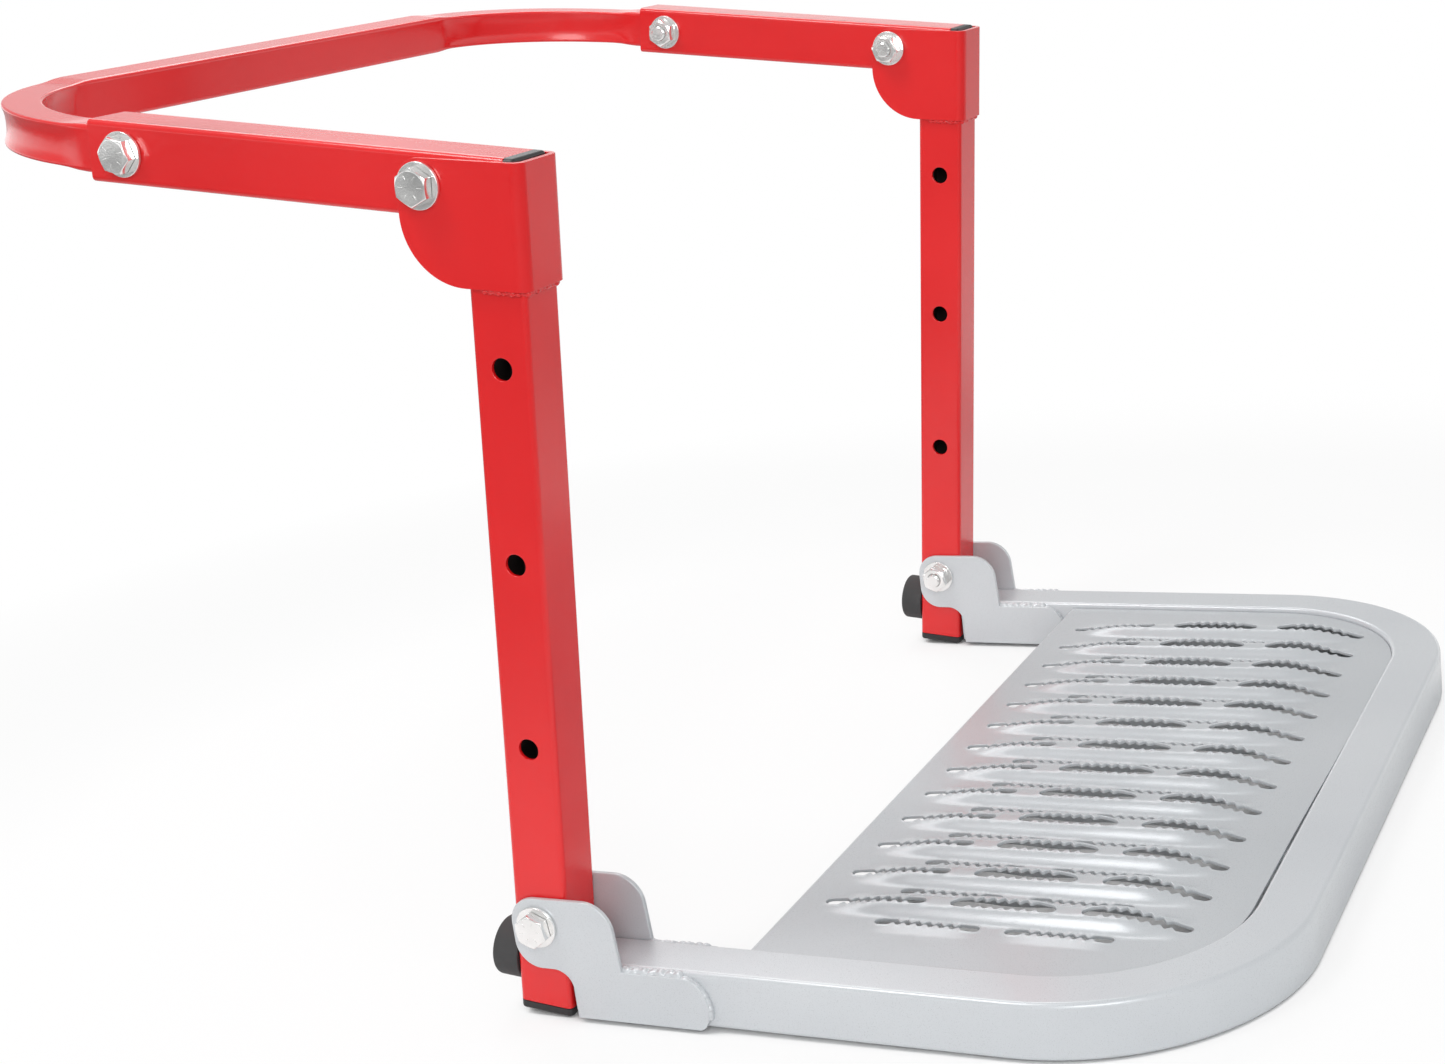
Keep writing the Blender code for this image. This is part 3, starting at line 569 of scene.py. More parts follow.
def make_hoop():
    corner_x, corner_y = SPAN / 2 - HOOP_BEND, HOOP_REACH - HOOP_BEND
    run = corner_y - LEG_START
    piece = tube_end(HOOP_TUBE, HOOP_CORNER, HOOP_WALL, END_ON, (-SPAN / 2, LEG_START, 0), 9)
    draw_out((0, run, 0))
    bend((-corner_x, corner_y, 0), 1)
    draw_out((2 * corner_x, 0, 0))
    bend((corner_x, corner_y, 0), 1)
    draw_out((0, -run, 0))
    outward()
    press_bend((-corner_x, corner_y), -1)
    press_bend((corner_x, corner_y), 1)
    close_mesh()
    for _, sign in SIDES:
        x = sign * SPAN / 2
        shape_with(piece, rod(HOLE / 2, x - TUBE, x + TUBE, (HOOP_BOLT, 0)))
    smooth(piece)
    settle(piece, "hoop_tube", HOOP, "hoop_and_arms", "red_powder_coat", "hoop")


# Step frame
def make_step_frame():
    turn = STEP_BEND - HALF
    corner_x, corner_y = SPAN / 2 - turn, STEP_BEND - STEP_REACH
    height = -STEP_DROP - HALF
    piece = tube_end(TUBE, TUBE_CORNER, TUBE_WALL, END_ON, (-SPAN / 2, -LEG_BACK, height))
    draw_out((0, LEG_BACK + corner_y, 0))
    bend((-corner_x, corner_y, 0), -1, 36)
    draw_out((2 * corner_x, 0, 0))
    bend((corner_x, corner_y, 0), -1, 36)
    draw_out((0, -LEG_BACK - corner_y, 0))
    outward()
    soften_ends(1, -math.inf, -LEG_BACK)
    close_mesh()
    smooth(piece)
    settle(piece, "frame_tube", PLATFORM, "platform", "grey_paint", "step_frame")


# Elbow brackets: a sheet folded round the upright's front, whose cheeks reach back to the bolt
def make_brackets():
    back, high = ELBOW.y + BRACKET_EDGE, ELBOW.z + BRACKET_EDGE
    channel = rectangle((-FACE, FACE), (-FACE, back + 3 * SHEET), FLAT, (0, 0, BRACKET_LOW - SHEET))
    round_corners(FOLD + SHEET, lambda spot, _: spot.y < 0, 10)
    bpy.ops.mesh.select_mode(type="FACE")
    bpy.ops.mesh.select_all(action="SELECT")
    bpy.ops.mesh.inset(thickness=SHEET)
    bpy.ops.mesh.delete(type="FACE")
    bpy.ops.mesh.select_all(action="SELECT")
    draw_out((0, 0, high - BRACKET_LOW + 2 * SHEET))
    outward()
    cheek = rectangle((-FACE - SHEET, back), (BRACKET_LOW, high), SIDE_ON, (-TUBE, 0, 0))
    round_corners(BRACKET_SWEEP, lambda spot, _: spot.y > 0 and spot.z < BRACKET_LOW + CLOSE, 24)
    round_corners(BRACKET_EDGE - CLOSE, lambda spot, _: spot.y > 0 and spot.z > high - CLOSE, 16)
    bpy.ops.mesh.select_all(action="SELECT")
    draw_out((2 * TUBE, 0, 0))
    outward()
    shape_with(channel, cheek, "INTERSECT")
    bore(channel, [(ELBOW.y, ELBOW.z)])
    open_mesh(channel)
    bpy.ops.mesh.select_all(action="SELECT")
    bpy.ops.mesh.remove_doubles(threshold=1e-6)
    soften(0.0004, 2)
    close_mesh()
    smooth(channel)
    settle_each(channel, [(f"bracket_sheet_{side}", UPRIGHTS @ move(sign * SPAN / 2), "uprights",
                           "red_powder_coat", f"elbow_bracket_{side}") for side, sign in SIDES])


# Hinge plates: an ear on the pivot bolt and a long foot along the frame's leg
def make_hinge_plates():
    ear_top, ear_low, shoulder, lean, nose = 0.0160, -0.0253, -0.0472, 0.0025, -0.097
    weld, low, tip = -STEP_DROP - 0.0025, -STEP_DROP - TUBE - GAP, -STEP_DROP - 0.0203
    heel = -HALF - GAP
    piece = rectangle((shoulder, heel), (low, ear_top), SIDE_ON, (-SHEET / 2, 0, 0))
    for level in (weld, ear_low):
        bpy.ops.mesh.select_all(action="SELECT")
        bpy.ops.mesh.bisect(plane_co=(0, 0, level), plane_no=(0, 0, 1))
    pick("EDGE", lambda spot, _: abs(spot.y - shoulder) < CLOSE and spot.z < weld - CLOSE)
    draw_out((0, nose - shoulder, 0))
    pick("EDGE", lambda spot, _: abs(spot.y - heel) < CLOSE and spot.z > ear_low + CLOSE)
    draw_out((0, HALF - heel, 0))
    bpy.ops.mesh.select_mode(type="FACE")
    bpy.ops.mesh.select_all(action="SELECT")
    bpy.ops.mesh.dissolve_faces()
    pick("VERT", lambda spot, vert: len(vert.link_edges) == 2 and abs(
        (vert.link_edges[0].other_vert(vert).co - spot).normalized().dot(
            (vert.link_edges[1].other_vert(vert).co - spot).normalized()) + 1) < 1e-4)
    bpy.ops.mesh.dissolve_verts()
    pick("VERT", lambda spot, _: abs(spot.y - shoulder) < CLOSE and spot.z > ear_top - CLOSE)
    bpy.ops.transform.translate(value=(0, lean, 0))

    def corner(y, z):
        return lambda spot, _: abs(spot.y - y) < CLOSE and abs(spot.z - z) < CLOSE

    round_corners(0.0162, corner(shoulder + lean, ear_top), 14)
    round_corners(0.015, corner(HALF, ear_top), 14)
    round_corners(0.015, corner(HALF, ear_low), 14)
    round_corners(0.011, corner(heel, ear_low), 12)
    # The foot's end is two quarter ellipses, each made as a round corner and then stretched.
    for radius, level, far in ((0.013, weld, weld - tip), (0.007, low, tip - low)):
        round_corners(radius, corner(nose, level), 14)
        pick("VERT", lambda spot, _: spot.y < nose + radius - CLOSE and
             abs(spot.z - level) < radius + CLOSE)
        bpy.ops.transform.resize(value=(1, 1, far / radius), center_override=(0, 0, level))
    bpy.ops.mesh.select_mode(type="FACE")
    bpy.ops.mesh.select_all(action="SELECT")
    draw_out((SHEET, 0, 0))
    outward()
    bore(piece, [(0, 0)])
    open_mesh(piece)
    soften(0.0007, 3)
    close_mesh()
    smooth(piece)
    spots = []
    for side, sign in SIDES:
        for face, way in (("outer", sign), ("inner", -sign)):
            x = sign * SPAN / 2 + way * (FACE - SHEET / 2)
            spots.append((f"hinge_sheet_{side}_{face}", PLATFORM @ move(x), "platform", "grey_paint",
                          f"hinge_plate_{side}_{face}"))
    settle_each(piece, spots)


# Plugs and caps: a rounded flange and a shank that goes into the tube
def make_plug(flange):
    size = HALF - TUBE_WALL - GAP
    piece = rectangle((-HALF, HALF), (-HALF, HALF), END_ON, (0, -GAP, 0))
    round_corners(TUBE_CORNER, lambda spot, _: spot.length > 0.7 * TUBE, 6)
    bpy.ops.mesh.select_mode(type="FACE")
    bpy.ops.mesh.select_all(action="SELECT")
    draw_out((0, GAP - flange, 0))
    outward()
    soften(0.3 * flange, 4, lambda spot, _: spot.y < CLOSE - flange)
    pick("FACE", lambda _, face: face.normal.y > 0.9)
    bpy.ops.mesh.inset(thickness=HALF - size)
    draw_out((0, PLUG_DEPTH + GAP, 0))
    close_mesh()
    smooth(piece)
    return piece


def make_plugs():
    settle_each(make_plug(ARM_CAP), [(f"end_cap_{side}", HOOP @ move(sign * SPAN / 2, -ARM_FRONT),
                                      "hoop_and_arms", "black_plastic", f"arm_cap_{side}")
                                     for side, sign in SIDES])
    down = Matrix.Rotation(math.pi / 2, 4, "X")
    settle_each(make_plug(FOOT_FLANGE),
                [(f"foot_{side}", UPRIGHTS @ move(sign * SPAN / 2, 0, -UPRIGHT_BELOW) @ down,
                  "uprights", "black_plastic", f"foot_plug_{side}") for side, sign in SIDES])


# Bumpers with a pocket for their screws
def make_bumpers():
    piece = rod(BUMPER / 2, 0, BUMPER_LENGTH, axis="Y", sides=72)
    open_mesh(piece)
    pick("EDGE", lambda _, edge: min(v.co.y for v in edge.verts) > BUMPER_LENGTH - CLOSE)
    bpy.ops.mesh.bevel(offset=BUMPER_ROUND, segments=6, affect="EDGES")
    pick("EDGE", lambda _, edge: max(v.co.y for v in edge.verts) < CLOSE)
    bpy.ops.mesh.bevel(offset=BUMPER_RIM, segments=3, affect="EDGES")
    pick("FACE", lambda _, face: face.normal.y > 0.99 and len(face.verts) > 8)
    bpy.ops.mesh.inset(thickness=BUMPER / 2 - BUMPER_ROUND - BUMPER_POCKET)
    draw_out((0, -POCKET_DEPTH, 0))
    pick("EDGE", lambda _, edge: all(abs(math.hypot(v.co.x, v.co.z) - BUMPER_POCKET) < 2 * CLOSE and
                                     v.co.y > BUMPER_LENGTH - CLOSE for v in edge.verts))
    bpy.ops.mesh.bevel(offset=BUMPER_RIM, segments=3, affect="EDGES")
    close_mesh()
    shape_with(piece, rod(BUMPER_HOLE, -0.01, 0.03, sides=32, axis="Y"))
    smooth(piece)
    places = [(side, UPRIGHTS @ move(sign * SPAN / 2, HALF + GAP, -BUMPER_DROP))
              for side, sign in SIDES]
    settle_each(piece, [(f"rubber_bumper_{side}", axes, "uprights", "black_rubber", f"bumper_{side}")
                        for side, axes in places])

    # a button head with a hexagon socket, and a shank that ends inside the tube
    head = SCREW_SEAT + SCREW_HEIGHT
    screw = rod(SCREW_HEAD, SCREW_SEAT, head, sides=48, axis="Y")
    open_mesh(screw)
    pick("EDGE", lambda _, edge: min(v.co.y for v in edge.verts) > head - CLOSE)
    bpy.ops.mesh.bevel(offset=SCREW_ROUND, segments=6, affect="EDGES")
    pick("FACE", lambda _, face: face.normal.y < -0.9)
    bpy.ops.mesh.inset(thickness=SCREW_HEAD - SCREW_SHANK)
    draw_out((0, -SCREW_SEAT - GAP - TUBE_WALL - SCREW_PAST, 0))
    bpy.ops.transform.resize(value=(0.85, 1, 0.85), center_override=(0, 0, 0))
    close_mesh()
    shape_with(screw, rod(SCREW_SOCKET, SCREW_SEAT + SOCKET_FLOOR, SCREW_SEAT + 0.005, sides=6,
                          axis="Y"))
    smooth(screw)
    settle_each(screw, [(f"hidden_screw_{side}", axes, "uprights", "zinc_plate", f"bumper_screw_{side}")
                        for side, axes in places])


# Hexagon bolts, nuts and washers
BOLT, FLATS, HEAD, NUT, WASHER, WASHER_HEIGHT = 0.010, 0.017, 0.0064, 0.008, 0.0235, 0.002
CROWN, CROWN_SLOPE = 0.0079, math.tan(math.radians(60))    # a hexagon's round face, and its taper
HEX_RIM, WASHER_RIM = 0.00025, 0.0004
BOLT_PAST, THREAD, THREAD_STEP, THREAD_DIP, TIP = 0.0025, 0.0050, 0.00075, 0.87, 0.0005
TICK, TICK_WIDTH = (0.0040, 0.0065), 0.0007      # from the head's middle outwards, and across
TICK_SUNK, TICK_HEIGHT, TICK_RIM = 0.0003, 0.0005, 0.00012


def crown(wide, narrow, low, high):
    """A tapered tool round X: its radius goes from wide at low to narrow at high."""
    nothing_selected()
    bpy.ops.mesh.primitive_cone_add(vertices=96, radius1=wide, radius2=narrow, depth=high - low,
                                    location=((low + high) / 2, 0, 0), rotation=(0, math.pi / 2, 0))
    tool = bpy.context.object
    move_into_mesh(tool)
    return tool


def hexagon(low, high):
    return rod(FLATS / math.sqrt(3), low, high, sides=6)


def make_bolt(face):
    """A bolt whose head sits on a washer on a face this far from the tube's middle."""
    seat = face + WASHER_HEIGHT + 2 * GAP
    end = -seat - NUT - BOLT_PAST
    top = seat + HEAD - (TICK_HEIGHT - TICK_SUNK)
    bolt = hexagon(seat, top)
    shape_with(bolt, crown(CROWN + HEAD * CROWN_SLOPE, CROWN, seat, top), "INTERSECT")
    open_mesh(bolt)
    outward()
    soften(HEX_RIM, 2)
    close_mesh()

    # The shank's end, past the nut, has three turns of thread and a pointed tip.
    shank = rod(BOLT / 2, end + THREAD, seat + 0.001, sides=40)
    open_mesh(shank)
    pick("FACE", lambda _, face: face.normal.x < -0.9)
    for _ in range(3):
        for scale in (THREAD_DIP, 1 / THREAD_DIP):
            draw_out((-THREAD_STEP, 0, 0))
            bpy.ops.transform.resize(value=(1, scale, scale), center_override=(0, 0, 0))
    draw_out((-TIP, 0, 0))
    bpy.ops.transform.resize(value=(1, 0.86, 0.86), center_override=(0, 0, 0))
    close_mesh()
    shape_with(bolt, shank, "UNION")

    # plain raised ticks on the head
    for i in range(6):
        across = (-TICK_WIDTH / 2, TICK_WIDTH / 2)
        tick = rectangle(TICK, across, SIDE_ON, (top - TICK_SUNK, 0, 0))
        draw_out((TICK_HEIGHT, 0, 0))
        outward()
        bpy.ops.mesh.bevel(offset=TICK_RIM, segments=2, affect="EDGES")
        close_mesh()
        tick.matrix_world = Matrix.Rotation(math.radians(60 * i + 30), 4, "X")
        move_into_mesh(tick)
        bolt.select_set(True)
        bpy.context.view_layer.objects.active = bolt
        bpy.ops.object.join()
    smooth(bolt, 30)
    return bolt


def make_nut():
    nut = hexagon(0, NUT)
    shape_with(nut, crown(CROWN + NUT * CROWN_SLOPE, CROWN, 0, NUT), "INTERSECT")
    shape_with(nut, crown(CROWN, CROWN + NUT * CROWN_SLOPE, 0, NUT), "INTERSECT")
    shape_with(nut, rod(BOLT / 2 + GAP, -0.01, 0.02, sides=48))
    open_mesh(nut)
    outward()
    soften(HEX_RIM, 2)
    close_mesh()
    smooth(nut, 30)
    return nut


def make_washer():
    washer = rod(WASHER / 2, 0, WASHER_HEIGHT, sides=72)
    shape_with(washer, rod(BOLT / 2 + GAP, -0.01, 0.02, sides=48))
    open_mesh(washer)
    soften(WASHER_RIM, 3)
    close_mesh()
    smooth(washer)
    return washer


def make_fasteners():
    plate_bolt, tube_bolt, nut, washer = make_bolt(FACE), make_bolt(HALF), make_nut(), make_washer()
    # The last number is how far each head is turned, as it happens to be tightened.
    joints = (
        ("elbow", UPRIGHTS, ELBOW.y, ELBOW.z, FACE, "uprights", plate_bolt, 30),
        ("pivot", UPRIGHTS, 0.0, 0.0, FACE, "uprights", plate_bolt, 18),
        ("hoop", HOOP, HOOP_BOLT, 0.0, HALF, "hoop_and_arms", tube_bolt, 8),
    )
    for label, axes, y, z, face, body, bolt, turned in joints:
        for side, sign in SIDES:
            seat = face + WASHER_HEIGHT + 2 * GAP
            spot = axes @ move(sign * SPAN / 2, y, z, 0 if sign > 0 else math.pi)
            away = spot @ move(turn=math.pi)
            twist = Matrix.Rotation(math.radians(turned * sign), 4, "X")
            slack = Matrix.Rotation(math.radians(turned + 25), 4, "X")
            lift = move(face + GAP)
            settle(copied(bolt), f"{label}_hex_bolt_{side}", spot @ twist, body, "zinc_plate",
                   f"{label}_bolt_{side}")
            settle(copied(nut), f"{label}_hex_nut_{side}", away @ move(seat) @ slack, body,
                   "zinc_plate", f"{label}_nut_{side}")
            for place, base in (("outer", spot), ("inner", away)):
                settle(copied(washer), f"{label}_round_washer_{side}_{place}", base @ lift, body,
                       "zinc_plate", f"{label}_washer_{side}_{place}")
    for model in (plate_bolt, tube_bolt, nut, washer):
        bpy.data.objects.remove(model)


# Weld beads: overlapping drops, remeshed into one lumpy skin
FINE = 0.0003                   # voxel of the small beads


def bead(path, radius, pitch, flow, voxel=0.00045):
    """A bead along (x, y, z) points: drops every pitch, whose size changes by a share called flow."""
    nothing_selected()
    count = 0
    for start, end in zip(path, path[1:]):
        start, end = Vector(start), Vector(end)
        steps = max(1, round((end - start).length / pitch))
        for i in range(steps + (end == Vector(path[-1]))):
            wave = math.sin(count * 2.4) * 0.6 + math.sin(count * 5.1 + 1.3) * 0.4
            size = radius * (1 + flow * wave)
            side = 0.22 * radius * math.sin(count * 3.7 + 0.5)
            spot = start.lerp(end, i / steps) + Vector((side, side * 0.5, 0.3 * side))
            bpy.ops.mesh.primitive_ico_sphere_add(subdivisions=2, radius=size, location=spot)
            if count == 0:
                piece = bpy.context.object
                move_into_mesh(piece)
                open_mesh(piece)
            count += 1
    close_mesh()
    only(piece)
    skin = piece.modifiers.new("skin", "REMESH")
    skin.mode = "VOXEL"
    skin.voxel_size = voxel
    bpy.ops.object.modifier_apply(modifier="skin")
    ease = piece.modifiers.new("ease", "SMOOTH")
    ease.iterations = 3
    ease.factor = 0.5
    bpy.ops.object.modifier_apply(modifier="ease")
    bpy.ops.object.shade_smooth()
    return piece


def make_welds():
    # a broad bead along each hinge plate's upper edge, and a flatter one round the end of its foot
    high = -STEP_DROP - 0.0029
    along = [(0, y, high) for y in (-0.0480, -0.060, -0.070, -0.0805)]
    round_end = [(0, -0.0800, high - 0.0006), (0, -0.0855, high - 0.0012), (0, -0.0905, high - 0.0040),
                 (0, -0.0945, high - 0.0092), (0, -0.0966, high - 0.0165), (0, -0.0962, high - 0.0220)]
    for side, sign in SIDES:
        for place, way in (("outer", sign), ("inner", -sign)):
            x = sign * SPAN / 2 + way * (HALF - 0.0002)
            weld = bead(along, radius=0.0028, pitch=0.0021, flow=0.22)
            settle(weld, f"weld_hinge_top_{side}_{place}", PLATFORM @ move(x), "platform", "grey_paint")
            x = sign * SPAN / 2 + way * (HALF + 0.0006)
            weld = bead(round_end, radius=0.0022, pitch=0.0014, flow=0.08)
            settle(weld, f"weld_hinge_end_{side}_{place}", PLATFORM @ move(x), "platform", "grey_paint")
    # under each elbow bracket, round the upright's front
    low = BRACKET_LOW - 0.0009
    out = HALF + 0.0006
    path = [(out, 0.006, low), (out, -0.0125, low), (0.0138, -out, low), (-0.0138, -out, low),
            (-out, -0.0125, low), (-out, 0.006, low)]
    for side, sign in SIDES:
        weld = bead(path, radius=0.0015, pitch=0.0016, flow=0.30, voxel=FINE)
        settle(weld, f"weld_bracket_{side}", UPRIGHTS @ move(sign * SPAN / 2), "uprights",
               "red_powder_coat")
    # dots at the tread's front corners, and stitches under it
    for side, sign in SIDES:
        corner = [(sign * 0.206, -0.3568), (sign * 0.226, -0.3520), (sign * 0.243, -0.3425),
                  (sign * 0.256, -0.3300)]
        weld = bead([(x, y, -TREAD_TOP + 0.0006) for x, y in corner],
                    radius=0.0014, pitch=0.0040, flow=0.40, voxel=FINE)
        settle(weld, f"weld_tread_corner_{side}", PLATFORM, "platform", "grey_paint")
    under = -TREAD_TOP - TREAD_SHEET - 0.0010
    edge_x, edge_y = SPAN / 2 - HALF - GAP, -STEP_REACH + TUBE + GAP
    stitches = [("front_left", (-0.15, edge_y), (-0.11, edge_y)),
                ("front", (-0.02, edge_y), (0.02, edge_y)),
                ("front_right", (0.11, edge_y), (0.15, edge_y))]
    for side, sign in SIDES:
        for spot, y in (("rear", -0.135), ("middle", -0.200)):
            stitches.append((f"{spot}_{side}", (sign * edge_x, y), (sign * edge_x, y - 0.035)))
    for spot, start, end in stitches:
        weld = bead([(*start, under), (*end, under)], radius=0.0020, pitch=0.0021, flow=0.20)
        settle(weld, f"weld_tread_{spot}", PLATFORM, "platform", "grey_paint")


# Formed tread. Row and slot places are in the platform's axes, seen from above.
ACROSS = (-0.0040, -0.0015, 0.0015, 0.0040, 0.0058, 0.0076, 0.00935, 0.0111, 0.0129)   # from a row
BEYOND_LEFT, BEYOND_RIGHT = (0.0058, 0.0085, 0.0112), (0.0066, 0.0090, 0.0114)    # of the last rows
ALONG, GRID_MARGIN, GRID_ROOM = 0.0031, 0.004, 0.0017
END_SHARE, PLAIN_SHARE, TOOTH_FORM = 0.46, 0.47, 0.85
FRONT_GAP = 0.0021              # the sheet's front edge stops short of the bar at the left
ROLL_OUTER, ROLL_INNER, RIM_DROP = 0.00030, 0.00016, 0.0003


def smoothly(t):
    """0 below 0 and 1 above 1, with an even curve between."""
    t = max(0.0, min(1.0, t))
    return t * t * (3 - 2 * t)


def row_x(row):
    return (row - HALF_ROWS) * ROW_PITCH


def row_slots(row):
    """(middle, lift of the far edge) of each slot in a row."""
    count = 2 + row % 2
    return [(RIDGE_MIDDLE + (k - (count - 1) / 2) * SLOT_PITCH, REAR_LIFT if k == count - 1 else LIFT)
            for k in range(count)]


def ridge_height(y):
    offset = y - RIDGE_MIDDLE
    ramp = smoothly((RIDGE_HALF - abs(offset)) / RIDGE_RAMP)
    middle, slope = (RIDGE_FRONT + RIDGE_REAR) / 2, (RIDGE_FRONT - RIDGE_REAR) / 2
    return ramp * (middle - slope * offset / RIDGE_HALF)


def edge_height(row, y, far):
    """Height of the sheet along a row, beside its near or its far edge."""
    form, lift, droop = 0.0, 0.0, 0.0
    for number, (middle, slot_lift) in enumerate(row_slots(row)):
        if abs(y - middle) < SLOT / 2:
            along = 2 * (y - middle) / SLOT
            form, lift = 1 - abs(along) ** 3, slot_lift
            if number == 0:
                droop = FRONT_DROOP * ((1 - along) / 2) ** 2 * (1 - along ** 8)
    if row % 2:
        return ridge_height(y) + (lift * form - droop if far else 0.0)
    return form * (-VALLEY_SINK if far else VALLEY_RISE)


def sheet_height(x, y):
    """Height of the formed sheet's top over its flat parts."""
    half = SLOT_WIDTH / 2
    outside = abs(x) - HALF_ROWS * ROW_PITCH - half
    if outside > 0:
        row = 0 if x < 0 else ROWS - 1
        return edge_height(row, y, x > 0) * max(0.0, 1 - outside / TAB)
    nearest = round(x / ROW_PITCH + HALF_ROWS)
    offset = x - row_x(nearest)
    if abs(offset) <= half:
        return edge_height(nearest, y, offset > 0)
    row = nearest if offset > 0 else nearest - 1
    start = row_x(row) + half
    t = smoothly((x - start) / (ROW_PITCH - SLOT_WIDTH))
    return edge_height(row, y, True) * (1 - t) + edge_height(row + 1, y, False) * t


def tooth(offset, far):
    """1 at the tip of a tooth, 0 between teeth and beyond them; the far teeth face the near gaps."""
    if abs(offset) > (TEETH - far) * TOOTH_PITCH / 2:
        return 0.0
    wave = math.cos(2 * math.pi * offset / TOOTH_PITCH)
    return (0.5 + 0.5 * (-wave if far else wave)) ** TOOTH_FORM


def half_width(offset, far):
    """Half of a slot's width at an offset along it: rounded ends, a plain stretch, then teeth."""
    end = SLOT / 2 - SLOT_END
    if abs(offset) > end:
        return END_SHARE * SLOT_WIDTH * math.sqrt(max(0.0, 1 - ((abs(offset) - end) / SLOT_END) ** 2))
    if abs(offset) < TOOTHED:
        return SLOT_WIDTH / 2 - TOOTH * tooth(offset, far)
    return PLAIN_SHARE * SLOT_WIDTH


def set_back(spots, reach):
    """A closed line moved square to itself, out of the slot that it goes round."""
    moved = []
    for i, spot in enumerate(spots):
        along = (spots[(i + 1) % len(spots)] - spots[i - 1]).normalized()
        moved.append(spot + reach * Vector((along.y, -along.x)))
    return moved


def slot_outline(row, middle):
    """The slot's edge in plan, the same edge set back by the rim, and the collar round both."""
    x = row_x(row)
    end = SLOT / 2 - SLOT_END
    lead = [-SLOT / 2] + [-end - SLOT_END * math.cos(a * math.pi / 10) for a in range(1, 5)]
    lead += [-end, -(end + TOOTHED) / 2]
    count = TEETH * 8
    offsets = lead + [-TOOTHED + 2 * TOOTHED * i / count for i in range(count + 1)]
    offsets += [-o for o in reversed(lead)]
    line, plain = [], []
    for way, part in ((1, offsets[:-1]), (-1, list(reversed(offsets[1:])))):
        for o in part:
            half = half_width(o, way > 0)
            line.append(Vector((x + way * half, middle + o)))
            plain.append(Vector((x + way * (half + TOOTH * tooth(o, way > 0)), middle + o)))
    return line, set_back(line, RIM), set_back(plain, COLLAR)


def tread_border(half_x, front, fold):
    """The sheet's outer edge in plan, from its left rear corner round the front to the right one."""
    turn = STEP_BEND - TUBE - GAP
    border = [Vector((-half_x, fold))]
    for centre, start in ((-half_x + turn, 180), (half_x - turn, 270)):
        for i in range(25):
            a = math.radians(start + 90 * i / 24)
            border.append(Vector((centre + turn * math.cos(a), front + turn + turn * math.sin(a))))
        if start == 180:
            border += [Vector((-0.172 + 0.01 * i, front)) for i in range(35)]
    border.append(Vector((half_x, fold)))
    for spot in border:
        if spot.y < -0.3:
            open_left, closed_right = (spot.x + 0.225) / 0.03, (0.12 - spot.x) / 0.26
            spot.y += FRONT_GAP * smoothly(open_left) * smoothly(closed_right)
    return border


def clear_of_slots(x, y):
    row = round(x / ROW_PITCH + HALF_ROWS)
    if not 0 <= row < ROWS or abs(x - row_x(row)) >= SLOT_WIDTH / 2 + GRID_ROOM:
        return True
    return all(abs(y - middle) >= SLOT / 2 + GRID_ROOM for middle, _ in row_slots(row))


def tread_grid():
    """Spots between the slots that the sheet bends over, in columns beside each row."""
    half_rows = HALF_ROWS * ROW_PITCH
    columns = [row_x(row) + d for row in range(ROWS) for d in ACROSS]
    columns = [c for c in columns if c < half_rows + 0.005]
    columns += [-half_rows - d for d in BEYOND_LEFT]
    columns += [half_rows + d for d in BEYOND_RIGHT]
    columns += [side * (half_rows + SLOT_WIDTH / 2 + TAB) for side in (-1, 1)]
    low, high = RIDGE_MIDDLE - RIDGE_HALF - GRID_MARGIN, RIDGE_MIDDLE + RIDGE_HALF + GRID_MARGIN
    steps = round((high - low) / ALONG)
    grid = [(x, low + (high - low) * i / steps) for x in columns for i in range(steps + 1)]
    return [Vector(spot) for spot in grid if clear_of_slots(*spot)]


